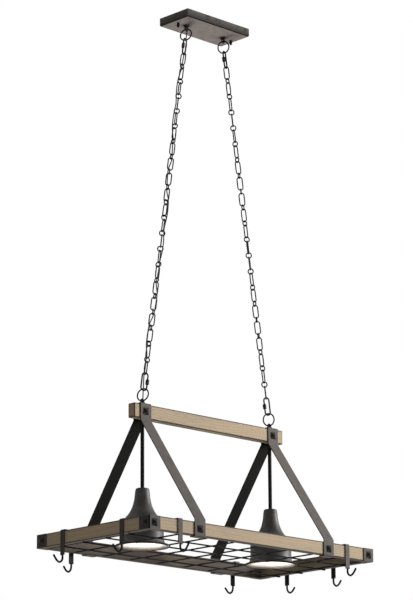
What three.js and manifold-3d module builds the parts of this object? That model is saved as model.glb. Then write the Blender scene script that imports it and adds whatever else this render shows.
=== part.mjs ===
// A pot rack that hangs from the ceiling on two chains: a wooden frame round a wire grid, two
// lamps under a beam, and eight sliding hooks.
//
// Millimetres, +Z up. X runs along the long rails and Y along the short ones. The origin is the
// middle of the mounting bar's top face, on the ceiling. Left is -X and front is -Y.

import * as THREE from 'three';
import { mergeVertices } from 'three/addons/utils/BufferGeometryUtils.js';
import Module from 'manifold-3d';

const wasm = await Module();
wasm.setup();

// ---------------------------------------------------------------- sizes

const GAP = 0.3; // running clearance between separate pieces
const OVERRUN = 1; // how far a cutting tool, or a solid to be joined, runs past a face

// Ceiling canopy: a folded sheet pan, open towards the ceiling.
const CANOPY_LENGTH = 281;
const CANOPY_WIDTH = 133;
const CANOPY_HEIGHT = 27.5;
const CANOPY_SHEET = 1.6;
const CANOPY_BEVEL = 3;

// Mounting bar inside the canopy, with a stud at each end.
const BAR_WIDTH = 30;
const BAR_THICKNESS = 3;
const BAR_END = 9; // beyond the stud's centre
const SLOT_LENGTH = 26;
const SLOT_WIDTH = 6;
const SLOT_X = 48;
const STUD_INSET = 20.5; // from the canopy's ends
const STUD_DIAMETER = 5;

// Cap nuts under the canopy.
const CAP_DIAMETER = 10.5;
const CAP_HEIGHT = 17;
const CAP_WALL = 2.5; // solid metal under the stud's end

// Eye bolts: two under the canopy and two on the beam.
const EYE_X = 83.5;
const EYE_RADIUS = 9; // to the middle of the wire
const EYE_WIRE = 5;
const CANOPY_EYE_REACH = 17.8; // from the seat to the middle of the far wire
const BEAM_EYE_REACH = 14.5;
const COLLAR_DIAMETER = 17.5;
const COLLAR_HEIGHT = 4.5;
const SHANK_DIAMETER = 8;
const BEAM_SHANK_DEPTH = 16; // inside the beam
const NUT_FLATS = 13;
const NUT_HEIGHT = 6;
const NUT_THREAD_OVER = 1.5; // shank shown above the nut

// Round rings at both ends of each chain.
const RING_RADIUS = 19.75; // to the middle of the wire
const RING_WIRE = 4.5;

// Quick links between the rings and the chain, each closed by a screwed sleeve.
const QUICK_LENGTH = 62;
const QUICK_WIDTH = 24;
const QUICK_WIRE = 5;
const SLEEVE_FLATS = 10;
const SLEEVE_LENGTH = 16;

// Chain: long links with a small round ring between each two.
const LINK_COUNT = 21;
const LINK_LENGTH = 46.8;
const LINK_WIDTH = 20.8;
const CHAIN_WIRE = 4;
const SMALL_RING_DIAMETER = 21.33; // outside
const LINK_STEPS = 8; // flats round a link's or small ring's wire
const CHAIN_BITE = 0.3; // taut links press into each other, which makes the chain one body

// The direction that each flat piece's plane runs in, seen from above, in degrees.
const CANOPY_EYE_TURN = 20;
const BEAM_EYE_TURN = 15.8;
const LEFT_CHAIN = { start: 109.8, step: -20, topSleeve: -1, lowQuick: 159.8, lowSleeve: -1 };
const RIGHT_CHAIN = { start: -70.2, step: -21.2, topSleeve: -1, lowQuick: 165.8, lowSleeve: 1 };

// Beam and the two A-shaped straps that carry the frame.
const STRAP_X = 279; // straps, lamps and beam eyes
const STRAP_WIDTH = 44;
const STRAP_THICKNESS = 3.5;
const STRAP_BEND_OVER_RAIL = 8.5;
const STRAP_BEND_UNDER_BEAM = 6;
const BEAM_THICKNESS = 28;
const BEAM_HEIGHT = 45;
const BEAM_OVERHANG = 24; // past the straps
const FRAME_DROP = 439; // from the beam's top to the rails' underside

// Wooden frame.
const FRAME_LENGTH = 966;
const FRAME_WIDTH = 502;
const RAIL_THICKNESS = 19;
const RAIL_HEIGHT = 42;
const BRACKET_LEG = 45; // outside
const BRACKET_THICKNESS = 3;

// Pyramid studs and the pins behind them.
const PYRAMID_SIDE = 22;
const PYRAMID_HEIGHT = 8;
const PYRAMID_SINK = 0.2; // into the plate that it is joined to
const BOLT_DIAMETER = 6;
const FOOT_BOLT_DEPTH = 14; // inside the rail

// Wire grid: its long wires lie under the short rails, and its short wires between the long rails.
const GRID_WIRE = 5;
const GRID_WELD = 0.5; // how far crossing wires sink into each other
const GRID_INSET = 6; // from a short rail's outer face to the ends of the long wires
const GRID_STEP_X = 114.3;
const GRID_STEP_Y = 101.6;
const HOOP_CLEARANCE = 2; // between a lamp's rim and the hoop round it

// Lamps.
const STEM_DIAMETER = 12;
const STEM_BORE = 8;
const STEM_IN_BEAM = 14;
const STEM_IN_SOCKET = 11;
const SHADE_TOP = 178; // over the rails' underside
const SHADE_TOP_RADIUS = 17; // of its flat top
const SHADE_SEAM = 66; // where the bell meets the drum, over the rails' underside
const SHADE_LIP_HEIGHT = 25; // where the drum starts to flare, over the rails' underside
const SHADE_DRUM_RADIUS = 65.5;
const SHADE_RIM_RADIUS = 78.5;
const SHADE_RIM_DROP = 2; // under the rails' underside
const SHADE_WALL = 1.5;
const SOCKET_RADIUS = 17;
const SOCKET_LENGTH = 58;
const SOCKET_SHOULDER = 8;
const SOCKET_MOUTH_DEPTH = 27;
const BULB_BASE_RADIUS = 13;
const BULB_RADIUS = 30;
const BULB_LENGTH = 95; // glass under the socket

// Hooks that slide along the rails.
const HOOK_WIDTH = 18;
const HOOK_THICKNESS = 3;
const HOOK_INNER_LEG = 14;
const HOOK_DROP = 33; // strap under the rail
const HOOK_ROD = 6.3;
const HOOK_BOWL_DEPTH = 22.5; // from the strap's end to the middle of the rod in the bowl
const HOOK_REACH = 36; // from the strap to the tip
const HOOK_ROD_STRAIGHT = 11; // rod under the strap, before it bends
const HOOK_ROD_LAP = 5; // rod welded up the strap

// Places of the hooks: on a long rail outwards from the near strap, on a short rail from its middle.
const HOOKS = [
  { name: 'hook_front_left', rail: 'front', end: -1, from: 81 },
  { name: 'hook_front_right', rail: 'front', end: 1, from: 85 },
  { name: 'hook_back_left', rail: 'back', end: -1, from: 66 },
  { name: 'hook_back_right', rail: 'back', end: 1, from: 78 },
  { name: 'hook_left_back', rail: 'left', end: 1, from: 133 },
  { name: 'hook_left_front', rail: 'left', end: -1, from: 133 },
  { name: 'hook_right_back', rail: 'right', end: 1, from: 129 },
  { name: 'hook_right_front', rail: 'right', end: -1, from: 79 },
];

// Lamp wire along the left chain. Its ends are points chosen by hand: how far from the ring's
// middle (down at the top end, up at the bottom end), how far from the chain's middle line, and
// the compass direction in degrees.
const WIRE_DIAMETER = 3.8;
const WIRE_END_GAP = 1.9; // to the eye's collar, which tips towards the wire when the chain swings
const WIRE_STEPS = 80;
const WIRE_TOP = [
  [0, 6.9, 247],
  [12, 7, 247],
  [22, 7.6, 252],
  [42, 9.6, 269],
  [58, 9.3, 258],
  [74, 8.8, 240],
];
const WIRE_BOTTOM = [
  [64, 7.8, 200],
  [44, 8, 208],
  [22, 7.8, 222],
  [8, 8, 226],
  [-4, 8.4, 230],
];
const WIRE_SWAY = 5.1; // how far the wire strays from the link's middle, along its plane
const WIRE_SWAY_PACE = 1.9; // over 1, so that it keeps to one side between two crossings
const WIRE_OFF = 5.4; // from the link's plane where it crosses
const WIRE_OFF_MORE = 2.2; // added where it passes a small ring
const WIRE_COLLAR_TOP = { radius: 6.8, turn: 247 };
const WIRE_COLLAR_BOTTOM = { radius: 7, turn: 240 };

// ---------------------------------------------------------------- places worked out from the sizes

const rad = THREE.MathUtils.degToRad;

const studX = CANOPY_LENGTH / 2 - STUD_INSET;

const canopyEyeZ = -CANOPY_HEIGHT - CANOPY_EYE_REACH;
const ringHang = EYE_WIRE / 2 + RING_WIRE / 2 + GAP; // between the middles of an eye's and a ring's wire
const ringCentre = RING_RADIUS - ringHang; // along the chain's line from the eye's wire
const ringInside = RING_RADIUS - RING_WIRE / 2;
const quickCentre = ringInside - GAP - QUICK_WIRE + QUICK_LENGTH / 2; // from the ring's middle
const chainStart = ringInside - 2 * GAP - 2 * QUICK_WIRE + QUICK_LENGTH - CHAIN_WIRE;
// From a link's outside to the ridge inside its end, on which the next one hangs.
const linkRidge = CHAIN_WIRE / 2 * (1 + Math.cos(Math.PI / LINK_STEPS));
const chainPitch = LINK_LENGTH + SMALL_RING_DIAMETER - 4 * linkRidge + 2 * CHAIN_BITE;
const chainLength = (LINK_COUNT - 1) * chainPitch + LINK_LENGTH;
const ringToRing = chainLength + 2 * chainStart;
const eyeToEye = ringToRing + 2 * ringCentre;
const eyeSpread = STRAP_X - EYE_X;
const chainTilt = Math.asin(eyeSpread / eyeToEye);

const beamEyeZ = canopyEyeZ - eyeToEye * Math.cos(chainTilt);
const beamTop = beamEyeZ - BEAM_EYE_REACH - STRAP_THICKNESS;
const beamBottom = beamTop - BEAM_HEIGHT;
const beamMiddle = (beamTop + beamBottom) / 2;
const railBottom = beamTop - FRAME_DROP;
const railTop = railBottom + RAIL_HEIGHT;
const railMiddle = (railTop + railBottom) / 2;

const boltHole = BOLT_DIAMETER / 2 + GAP;
const shankHole = SHANK_DIAMETER / 2 + GAP;
const studHole = STUD_DIAMETER / 2 + GAP;
const stemHole = STEM_DIAMETER / 2 + GAP;
const sleeveHole = (QUICK_WIRE / 2 + GAP) / Math.cos(Math.PI / 6);
const collarFace = COLLAR_HEIGHT + WIRE_END_GAP;
const hoopRadius = SHADE_RIM_RADIUS + HOOP_CLEARANCE + GRID_WIRE / 2;

// ---------------------------------------------------------------- materials

const ironLook = { color: 0x55504b, roughness: 0.55, metalness: 0.8 };
const chainLook = { color: 0x2b2927, roughness: 0.5, metalness: 0.85 };
const steelLook = { color: 0x8d8b88, roughness: 0.4, metalness: 0.9 };
const woodLook = { color: 0xb59b76, roughness: 0.72, metalness: 0 };
const shadeLook = { color: 0x3a3b3c, roughness: 0.5, metalness: 0.6 };
const socketLook = { color: 0xe6e2d8, roughness: 0.5, metalness: 0 };
const bulbLook = { color: 0xfff3dc, roughness: 0.25, metalness: 0, emissive: 0xfff0d0 };
const wireLook = { color: 0x3b3835, roughness: 0.6, metalness: 0 };

// ---------------------------------------------------------------- helpers

const rack = new THREE.Group();

// Adds one named piece.
function piece(name, geometry, look, parent = rack) {
  const mesh = new THREE.Mesh(geometry, new THREE.MeshStandardMaterial(look));
  mesh.name = name;
  parent.add(mesh);
  return mesh;
}

// Position-only copy of a geometry whose shared corners are merged and whose faces point out.
function closed(geometry) {
  const bare = geometry.clone();
  bare.deleteAttribute('normal');
  bare.deleteAttribute('uv');
  const merged = mergeVertices(bare, 1e-4);
  const corners = merged.index.array;
  const point = [new THREE.Vector3(), new THREE.Vector3(), new THREE.Vector3()];
  let volume = 0;
  for (let i = 0; i < corners.length; i += 3) {
    point.forEach((corner, j) => corner.fromBufferAttribute(merged.attributes.position, corners[i + j]));
    volume += point[0].dot(point[1].cross(point[2])) / 6;
  }
  if (volume < 0) {
    corners.reverse();
  }
  return merged;
}

function toSolid(geometry) {
  const merged = closed(geometry);
  const vertProperties = new Float32Array(merged.attributes.position.array);
  const triVerts = new Uint32Array(merged.index.array);
  return new wasm.Manifold(new wasm.Mesh({ numProp: 3, vertProperties, triVerts }));
}

function toGeometry(solid) {
  const mesh = solid.getMesh();
  const geometry = new THREE.BufferGeometry();
  geometry.setAttribute('position', new THREE.BufferAttribute(new Float32Array(mesh.vertProperties), 3));
  geometry.setIndex(new THREE.BufferAttribute(new Uint32Array(mesh.triVerts), 1));
  geometry.computeVertexNormals();
  return geometry;
}

function join(geometries) {
  return toGeometry(geometries.map(toSolid).reduce((sum, next) => sum.add(next)));
}

function cut(geometry, tools) {
  return toGeometry(tools.map(toSolid).reduce((rest, tool) => rest.subtract(tool), toSolid(geometry)));
}

// A box with its middle at x, y and its underside at z.
function box(length, width, height, x, y, z) {
  return new THREE.BoxGeometry(length, width, height).translate(x, y, z + height / 2);
}

// An upright prism or cylinder standing at x, y with its underside at z.
function upright(radius, height, sides, x, y, z) {
  const geometry = new THREE.CylinderGeometry(radius, radius, height, sides).rotateX(Math.PI / 2);
  return geometry.rotateZ(Math.PI / sides).translate(x, y, z + height / 2);
}

// A bar lying along Y from y0 to y1.
function alongY(radius, sides, x, y0, y1, z) {
  return new THREE.CylinderGeometry(radius, radius, y1 - y0, sides).translate(x, (y0 + y1) / 2, z);
}

// A bar lying along X from x0 to x1.
function alongX(radius, sides, x0, x1, y, z) {
  const geometry = new THREE.CylinderGeometry(radius, radius, x1 - x0, sides).rotateZ(Math.PI / 2);
  return geometry.rotateX(Math.PI / 2).translate((x0 + x1) / 2, y, z);
}

// A solid turned about +Z from [radius, height] points.
function turned(outline, segments) {
  const points = outline.map(([radius, height]) => new THREE.Vector2(radius, height));
  return closed(new THREE.LatheGeometry(points, segments).rotateX(Math.PI / 2));
}

// A stack of rectangles, each [half length, half width, z], closed at both ends.
function rectangleStack(levels) {
  const positions = levels.flatMap(([x, y, z]) => [-x, -y, z, x, -y, z, x, y, z, -x, y, z]);
  const index = [0, 2, 1, 0, 3, 2];
  for (let level = 0; level < levels.length - 1; level += 1) {
    for (let side = 0; side < 4; side += 1) {
      const a = 4 * level + side;
      const b = 4 * level + (side + 1) % 4;
      index.push(a, b, b + 4, a, b + 4, a + 4);
    }
  }
  const top = 4 * (levels.length - 1);
  index.push(top, top + 1, top + 2, top, top + 2, top + 3);
  const geometry = new THREE.BufferGeometry();
  geometry.setAttribute('position', new THREE.Float32BufferAttribute(positions, 3));
  geometry.setIndex(index);
  return geometry;
}

// The path moved sideways by a distance, to the left of its run, with mitred corners.
function offsetPath(path, distance) {
  return path.map((point, i) => {
    const back = i > 0 ? path[i - 1] : point.clone().multiplyScalar(2).sub(path[1]);
    const ahead = i < path.length - 1 ? path[i + 1] : point.clone().multiplyScalar(2).sub(path[i - 1]);
    const runIn = point.clone().sub(back).normalize();
    const runOut = ahead.clone().sub(point).normalize();
    const sideIn = new THREE.Vector2(-runIn.y, runIn.x);
    const sideOut = new THREE.Vector2(-runOut.y, runOut.x);
    const mitre = sideIn.clone().add(sideOut).normalize();
    return point.clone().addScaledVector(mitre, distance / mitre.dot(sideIn));
  });
}

// Flat bar bent along a path of [across, z] points in the XZ plane, thickened to the path's left.
function bentBar(path, thickness, width) {
  const inner = path.map(([across, z]) => new THREE.Vector2(across, z));
  const outer = offsetPath(inner, thickness).reverse();
  const outline = new THREE.Shape([...inner, ...outer]);
  const bar = new THREE.ExtrudeGeometry(outline, { depth: width, bevelEnabled: false });
  return bar.translate(0, 0, -width / 2).rotateX(Math.PI / 2);
}

// A tube along a curve, with flat ends.
function tube(curve, radius, sides, steps) {
  const corners = Array.from({ length: sides }, (_, i) => {
    const angle = 2 * Math.PI * (i + 0.5) / sides;
    return new THREE.Vector2(radius * Math.cos(angle), radius * Math.sin(angle));
  });
  const section = new THREE.Shape(corners);
  return new THREE.ExtrudeGeometry(section, { extrudePath: curve, steps, bevelEnabled: false });
}

// An upright oval of round wire in the XZ plane: a ring whose halves are moved apart. Its flats
// touch the wire's true middle line, so that its length and width are exact.
function oval(length, width, wire, sides, steps) {
  const radius = (width - wire) / 2 / Math.cos(Math.PI / steps);
  const geometry = new THREE.TorusGeometry(radius, wire / 2, sides, steps).rotateZ(Math.PI / steps);
  const place = geometry.attributes.position;
  for (let i = 0; i < place.count; i += 1) {
    place.setY(i, place.getY(i) + Math.sign(place.getY(i)) * (length - width) / 2);
  }
  return geometry.rotateX(Math.PI / 2);
}

function wireRing(radius, wire, sides, steps) {
  return new THREE.TorusGeometry(radius, wire / 2, sides, steps).rotateZ(Math.PI / 2).rotateX(Math.PI / 2);
}

// A four-sided stud pointing along -Y, its base in the plane y = 0.
function pyramid() {
  const stud = new THREE.ConeGeometry(PYRAMID_SIDE / Math.SQRT2, PYRAMID_HEIGHT, 4);
  return stud.rotateY(Math.PI / 4).rotateZ(Math.PI).translate(0, -PYRAMID_HEIGHT / 2, 0);
}

// ---------------------------------------------------------------- canopy

function canopyPan() {
  const x = CANOPY_LENGTH / 2;
  const y = CANOPY_WIDTH / 2;
  const floor = -CANOPY_HEIGHT;
  const outside = rectangleStack([
    [x - CANOPY_BEVEL, y - CANOPY_BEVEL, floor],
    [x, y, floor + CANOPY_BEVEL],
    [x, y, 0],
  ]);
  const inside = rectangleStack([
    [x - CANOPY_SHEET - CANOPY_BEVEL, y - CANOPY_SHEET - CANOPY_BEVEL, floor + CANOPY_SHEET],
    [x - CANOPY_SHEET, y - CANOPY_SHEET, floor + CANOPY_SHEET + CANOPY_BEVEL],
    [x - CANOPY_SHEET, y - CANOPY_SHEET, OVERRUN],
  ]);
  const holes = [-1, 1].flatMap((side) => [
    upright(shankHole, 3 * CANOPY_SHEET, 12, side * EYE_X, 0, floor - CANOPY_SHEET),
    upright(studHole, 3 * CANOPY_SHEET, 8, side * studX, 0, floor - CANOPY_SHEET),
  ]);
  return cut(outside, [inside, ...holes]);
}

function mountingBar() {
  const bar = box(2 * (studX + BAR_END), BAR_WIDTH, BAR_THICKNESS, 0, 0, -BAR_THICKNESS);
  const slots = [-1, 1].map((side) => (
    box(SLOT_LENGTH, SLOT_WIDTH, 3 * BAR_THICKNESS, side * SLOT_X, 0, -2 * BAR_THICKNESS)
  ));
  const studEnd = -CANOPY_HEIGHT - CAP_HEIGHT + CAP_WALL + GAP;
  const studLength = -studEnd - BAR_THICKNESS / 2;
  const studs = [-1, 1].map((side) => upright(STUD_DIAMETER / 2, studLength, 8, side * studX, 0, studEnd));
  return join([cut(bar, slots), ...studs]);
}

// A drop-shaped nut with a blind hole; its seat is at z = 0 and it points down.
function capNut() {
  const radius = CAP_DIAMETER / 2;
  return turned([
    [studHole, 0],
    [0.78 * radius, 0],
    [0.78 * radius, -0.16 * CAP_HEIGHT],
    [radius, -0.3 * CAP_HEIGHT],
    [radius, -0.62 * CAP_HEIGHT],
    [0.72 * radius, -0.86 * CAP_HEIGHT],
    [0, -CAP_HEIGHT],
    [0, -CAP_HEIGHT + CAP_WALL],
    [studHole, -CAP_HEIGHT + CAP_WALL],
    [studHole, 0],
  ], 10);
}

// An eye bolt standing up from a seat at z = 0, its shank pointing down.
function eyeBolt(reach, shankLength, turn) {
  const eye = wireRing(EYE_RADIUS, EYE_WIRE, 6, 12).translate(0, 0, reach - EYE_RADIUS);
  const under = box(4 * EYE_RADIUS, 2 * EYE_WIRE, 4 * EYE_RADIUS, 0, 0, -4 * EYE_RADIUS);
  const collar = upright(COLLAR_DIAMETER / 2, COLLAR_HEIGHT, 12, 0, 0, 0);
  const shank = upright(SHANK_DIAMETER / 2, shankLength + OVERRUN, 10, 0, 0, -shankLength);
  return join([cut(eye, [under]).rotateZ(rad(turn)), collar, shank]);
}

// The canopy's eye bolt, in one with the lock nut that clamps it to the sheet.
function canopyEye() {
  const shankLength = CANOPY_SHEET + NUT_HEIGHT + NUT_THREAD_OVER;
  const bolt = eyeBolt(CANOPY_EYE_REACH, shankLength, -CANOPY_EYE_TURN);
  const corner = NUT_FLATS / 2 / Math.cos(Math.PI / 6);
  return join([bolt, upright(corner, NUT_HEIGHT, 6, 0, 0, -CANOPY_SHEET - NUT_HEIGHT)]);
}

function addCanopy() {
  piece('mounting_bar', mountingBar(), steelLook);
  piece('canopy_pan', canopyPan(), ironLook);
  for (const [side, x] of [['left', -1], ['right', 1]]) {
    const eye = piece(`canopy_eye_${side}`, canopyEye(), ironLook);
    eye.position.set(x * EYE_X, 0, -CANOPY_HEIGHT);
    eye.rotation.x = Math.PI;
    const cap = piece(`cap_nut_${side}`, capNut(), ironLook);
    cap.position.set(x * studX, 0, -CANOPY_HEIGHT);
  }
}

// ---------------------------------------------------------------- chains

// The chain's local frame has its origin at the canopy eye's wire and runs down -Z.
function chainFrame(x) {
  const frame = new THREE.Group();
  frame.position.set(x * EYE_X, 0, canopyEyeZ);
  frame.rotation.y = -x * chainTilt;
  frame.updateMatrixWorld(true);
  return frame;
}

function chainBody({ start, step }) {
  const link = oval(LINK_LENGTH, LINK_WIDTH, CHAIN_WIRE, 4, LINK_STEPS);
  const ring = oval(SMALL_RING_DIAMETER, SMALL_RING_DIAMETER, CHAIN_WIRE, 4, LINK_STEPS);
  const links = [];
  for (let i = 0; i < LINK_COUNT; i += 1) {
    const turn = rad(start + i * step);
    links.push(link.clone().rotateZ(turn).translate(0, 0, -i * chainPitch));
    if (i < LINK_COUNT - 1) {
      const ringTurn = turn + rad(step) / 2 + Math.PI / 2;
      links.push(ring.clone().rotateZ(ringTurn).translate(0, 0, -(i + 0.5) * chainPitch));
    }
  }
  return join(links);
}

// Hexagonal sleeve round one side of a quick link.
function sleeve() {
  const corner = SLEEVE_FLATS / 2 / Math.cos(Math.PI / 6);
  const end = SLEEVE_LENGTH / 2;
  return turned([
    [sleeveHole, -end],
    [corner, -end],
    [corner, end],
    [sleeveHole, end],
    [sleeveHole, -end],
  ], 6);
}

function addQuickLink(name, frame, drop, turn, sleeveSide) {
  const holder = new THREE.Group();
  holder.position.z = -drop;
  holder.rotation.z = rad(turn);
  frame.add(holder);
  piece(`quick_link_${name}`, oval(QUICK_LENGTH, QUICK_WIDTH, QUICK_WIRE, 6, 12), chainLook, holder);
  const collar = piece(`quick_sleeve_${name}`, sleeve(), chainLook, holder);
  collar.position.x = sleeveSide * (QUICK_WIDTH - QUICK_WIRE) / 2;
}

function addRing(name, frame, drop, turn) {
  const ring = piece(`ring_${name}`, wireRing(RING_RADIUS, RING_WIRE, 6, 20), chainLook, frame);
  ring.position.z = -drop;
  ring.rotation.z = rad(turn);
}

function addChain(side, x, turns) {
  const frame = chainFrame(x);
  rack.add(frame);
  const lowRing = eyeToEye - ringCentre;
  addRing(`top_${side}`, frame, ringCentre, CANOPY_EYE_TURN + 90);
  addQuickLink(`top_${side}`, frame, ringCentre + quickCentre, CANOPY_EYE_TURN, turns.topSleeve);
  const chain = piece(`chain_${side}`, chainBody(turns), chainLook, frame);
  chain.position.z = -(ringCentre + chainStart + LINK_LENGTH / 2);
  addQuickLink(`bottom_${side}`, frame, lowRing - quickCentre, turns.lowQuick, turns.lowSleeve);
  addRing(`bottom_${side}`, frame, lowRing, BEAM_EYE_TURN + 90);
}

// A point near the left chain: a drop along it, and a distance and direction off its middle line.
function besideChain(frame, drop, radius, turn) {
  const point = new THREE.Vector3(radius * Math.cos(rad(turn)), radius * Math.sin(rad(turn)), -drop);
  return point.applyMatrix4(frame.matrixWorld);
}

// Where the wire lies beside a link: it crosses every second link's front, and turns with the chain.
function wireBesideLink(frame, links) {
  const sway = Math.cos(Math.PI * links / 2);
  const along = WIRE_SWAY * THREE.MathUtils.clamp(WIRE_SWAY_PACE * sway, -1, 1);
  const off = WIRE_OFF + WIRE_OFF_MORE * sway * sway;
  const turn = LEFT_CHAIN.start + 180 + links * LEFT_CHAIN.step;
  const direction = turn - 90 + THREE.MathUtils.radToDeg(Math.atan2(along, off));
  const drop = ringCentre + chainStart + LINK_LENGTH / 2 + links * chainPitch;
  return besideChain(frame, drop, Math.hypot(along, off), direction);
}

function wireRoute() {
  const frame = chainFrame(-1);
  const lowRing = eyeToEye - ringCentre;
  const atCollar = (x, z, { radius, turn }) => new THREE.Vector3(
    x + radius * Math.cos(rad(turn)),
    radius * Math.sin(rad(turn)),
    z,
  );
  const topZ = -CANOPY_HEIGHT - collarFace;
  const bottomZ = beamEyeZ - BEAM_EYE_REACH + collarFace;
  const points = [atCollar(-EYE_X, topZ, WIRE_COLLAR_TOP), atCollar(-EYE_X, topZ - 8, WIRE_COLLAR_TOP)];
  for (const [drop, radius, turn] of WIRE_TOP) {
    points.push(besideChain(frame, ringCentre + drop, radius, turn));
  }
  for (let quarter = 0; quarter <= 4 * (LINK_COUNT - 1); quarter += 1) {
    points.push(wireBesideLink(frame, quarter / 4));
  }
  for (const [rise, radius, turn] of WIRE_BOTTOM) {
    points.push(besideChain(frame, lowRing - rise, radius, turn));
  }
  points.push(atCollar(-STRAP_X, bottomZ + 8, WIRE_COLLAR_BOTTOM));
  points.push(atCollar(-STRAP_X, bottomZ, WIRE_COLLAR_BOTTOM));
  return new THREE.CatmullRomCurve3(points, false, 'centripetal');
}

function addLampWire() {
  piece('lamp_wire', tube(wireRoute(), WIRE_DIAMETER / 2, 8, WIRE_STEPS), wireLook);
}

// ---------------------------------------------------------------- beam and straps

function beam() {
  const length = 2 * (STRAP_X + STRAP_WIDTH / 2 + BEAM_OVERHANG);
  const body = box(length, BEAM_THICKNESS, BEAM_HEIGHT, 0, 0, beamBottom);
  const holes = [-STRAP_X, STRAP_X].flatMap((x) => [
    upright(shankHole, BEAM_SHANK_DEPTH + OVERRUN + GAP, 10, x, 0, beamTop - BEAM_SHANK_DEPTH - GAP),
    upright(stemHole, STEM_IN_BEAM + OVERRUN + GAP, 12, x, 0, beamBottom - OVERRUN),
    alongY(boltHole, 8, x, -BEAM_THICKNESS, BEAM_THICKNESS, beamMiddle),
  ]);
  return cut(body, holes);
}

function frameStrap() {
  const outside = FRAME_WIDTH / 2;
  const halfBeam = BEAM_THICKNESS / 2;
  const half = [
    [outside - RAIL_THICKNESS, railBottom],
    [outside, railBottom],
    [outside, railTop + STRAP_BEND_OVER_RAIL],
    [halfBeam, beamBottom - STRAP_BEND_UNDER_BEAM],
    [halfBeam, beamTop],
  ];
  const path = [...half.map(([y, z]) => [-y, z]), ...half.reverse()];
  const strap = bentBar(path, STRAP_THICKNESS, STRAP_WIDTH).rotateZ(Math.PI / 2);
  const reach = outside + 2 * STRAP_THICKNESS;
  return cut(strap, [
    upright(shankHole, 3 * STRAP_THICKNESS, 10, 0, 0, beamTop - STRAP_THICKNESS),
    alongY(boltHole, 8, 0, -BEAM_THICKNESS, BEAM_THICKNESS, beamMiddle),
    alongY(boltHole, 8, 0, -reach, reach, railMiddle),
  ]);
}

// A bolt through the beam and both sides of a strap, with a pyramid stud at each end.
function beamBolt() {
  const end = BEAM_THICKNESS / 2 + STRAP_THICKNESS;
  const front = pyramid().translate(0, -end, 0);
  const back = pyramid().rotateZ(Math.PI).translate(0, end, 0);
  return join([front, back, alongY(BOLT_DIAMETER / 2, 8, 0, -end - OVERRUN, end + OVERRUN, 0)]);
}

// A pyramid-headed bolt through the strap's foot into the rail, pointing along -Y.
function footBolt() {
  const depth = STRAP_THICKNESS + FOOT_BOLT_DEPTH;
  return join([pyramid(), alongY(BOLT_DIAMETER / 2, 8, 0, -OVERRUN, depth, 0)]);
}

function addBeam() {
  piece('beam', beam(), woodLook);
  for (const [side, x] of [['left', -STRAP_X], ['right', STRAP_X]]) {
    const strap = piece(`frame_strap_${side}`, frameStrap(), ironLook);
    strap.position.x = x;
    const shank = STRAP_THICKNESS + BEAM_SHANK_DEPTH;
    const eye = piece(`beam_eye_${side}`, eyeBolt(BEAM_EYE_REACH, shank, BEAM_EYE_TURN), ironLook);
    eye.position.set(x, 0, beamTop + STRAP_THICKNESS);
    const bolt = piece(`beam_bolt_${side}`, beamBolt(), ironLook);
    bolt.position.set(x, 0, beamMiddle);
    for (const [end, y] of [['front', -1], ['back', 1]]) {
      const foot = piece(`foot_bolt_${end}_${side}`, footBolt(), ironLook);
      foot.position.set(x, y * (FRAME_WIDTH / 2 + STRAP_THICKNESS), railMiddle);
      foot.rotation.z = y < 0 ? 0 : Math.PI;
    }
  }
}

// ---------------------------------------------------------------- wooden frame

function longRail(y) {
  const middle = y * (FRAME_WIDTH - RAIL_THICKNESS) / 2;
  const body = box(FRAME_LENGTH, RAIL_THICKNESS, RAIL_HEIGHT, 0, middle, railBottom);
  const deep = FRAME_WIDTH / 2 - FOOT_BOLT_DEPTH - GAP;
  const ends = [y * deep, y * FRAME_WIDTH].sort((a, b) => a - b);
  const holes = [-STRAP_X, STRAP_X].map((x) => alongY(boltHole, 8, x, ends[0], ends[1], railMiddle));
  return cut(body, holes);
}

function shortRail(x) {
  const length = FRAME_WIDTH - 2 * RAIL_THICKNESS;
  return box(RAIL_THICKNESS, length, RAIL_HEIGHT, x * (FRAME_LENGTH - RAIL_THICKNESS) / 2, 0, railBottom);
}

// Angle plate round the outside of the front left corner, which is at the origin, with two studs.
function cornerBracket() {
  const t = BRACKET_THICKNESS;
  const end = BRACKET_LEG - t;
  const corners = [[-t, -t], [end, -t], [end, 0], [0, 0], [0, end], [-t, end]];
  const outline = new THREE.Shape(corners.map(([x, y]) => new THREE.Vector2(x, y)));
  const plate = new THREE.ExtrudeGeometry(outline, { depth: RAIL_HEIGHT, bevelEnabled: false });
  const centre = BRACKET_LEG / 2 - t;
  const onFront = pyramid().translate(centre, -t + PYRAMID_SINK, RAIL_HEIGHT / 2);
  const onLeft = pyramid().rotateZ(-Math.PI / 2).translate(-t + PYRAMID_SINK, centre, RAIL_HEIGHT / 2);
  return join([plate, onFront, onLeft]);
}

function addFrame() {
  piece('rail_front', longRail(-1), woodLook);
  piece('rail_back', longRail(1), woodLook);
  piece('rail_left', shortRail(-1), woodLook);
  piece('rail_right', shortRail(1), woodLook);
  const corners = [
    ['front_left', -1, -1, 0],
    ['front_right', 1, -1, 90],
    ['back_right', 1, 1, 180],
    ['back_left', -1, 1, 270],
  ];
  for (const [name, x, y, turn] of corners) {
    const bracket = piece(`bracket_${name}`, cornerBracket(), ironLook);
    bracket.position.set(x * FRAME_LENGTH / 2, y * FRAME_WIDTH / 2, railBottom);
    bracket.rotation.z = rad(turn);
  }
}

// ---------------------------------------------------------------- grid

// The stretches of a wire from -half to half that lie outside the hoops. across is the wire's
// distance from each hoop's middle, and centres are the hoops' middles along the wire.
function stretches(half, across, centres) {
  const reach = Math.abs(across) < hoopRadius ? Math.sqrt(hoopRadius ** 2 - across ** 2) : 0;
  const stops = [-half];
  for (const centre of reach > 0 ? centres : []) {
    stops.push(centre - reach, centre + reach);
  }
  stops.push(half);
  return Array.from({ length: stops.length / 2 }, (_, i) => [stops[2 * i], stops[2 * i + 1]]);
}

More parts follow.
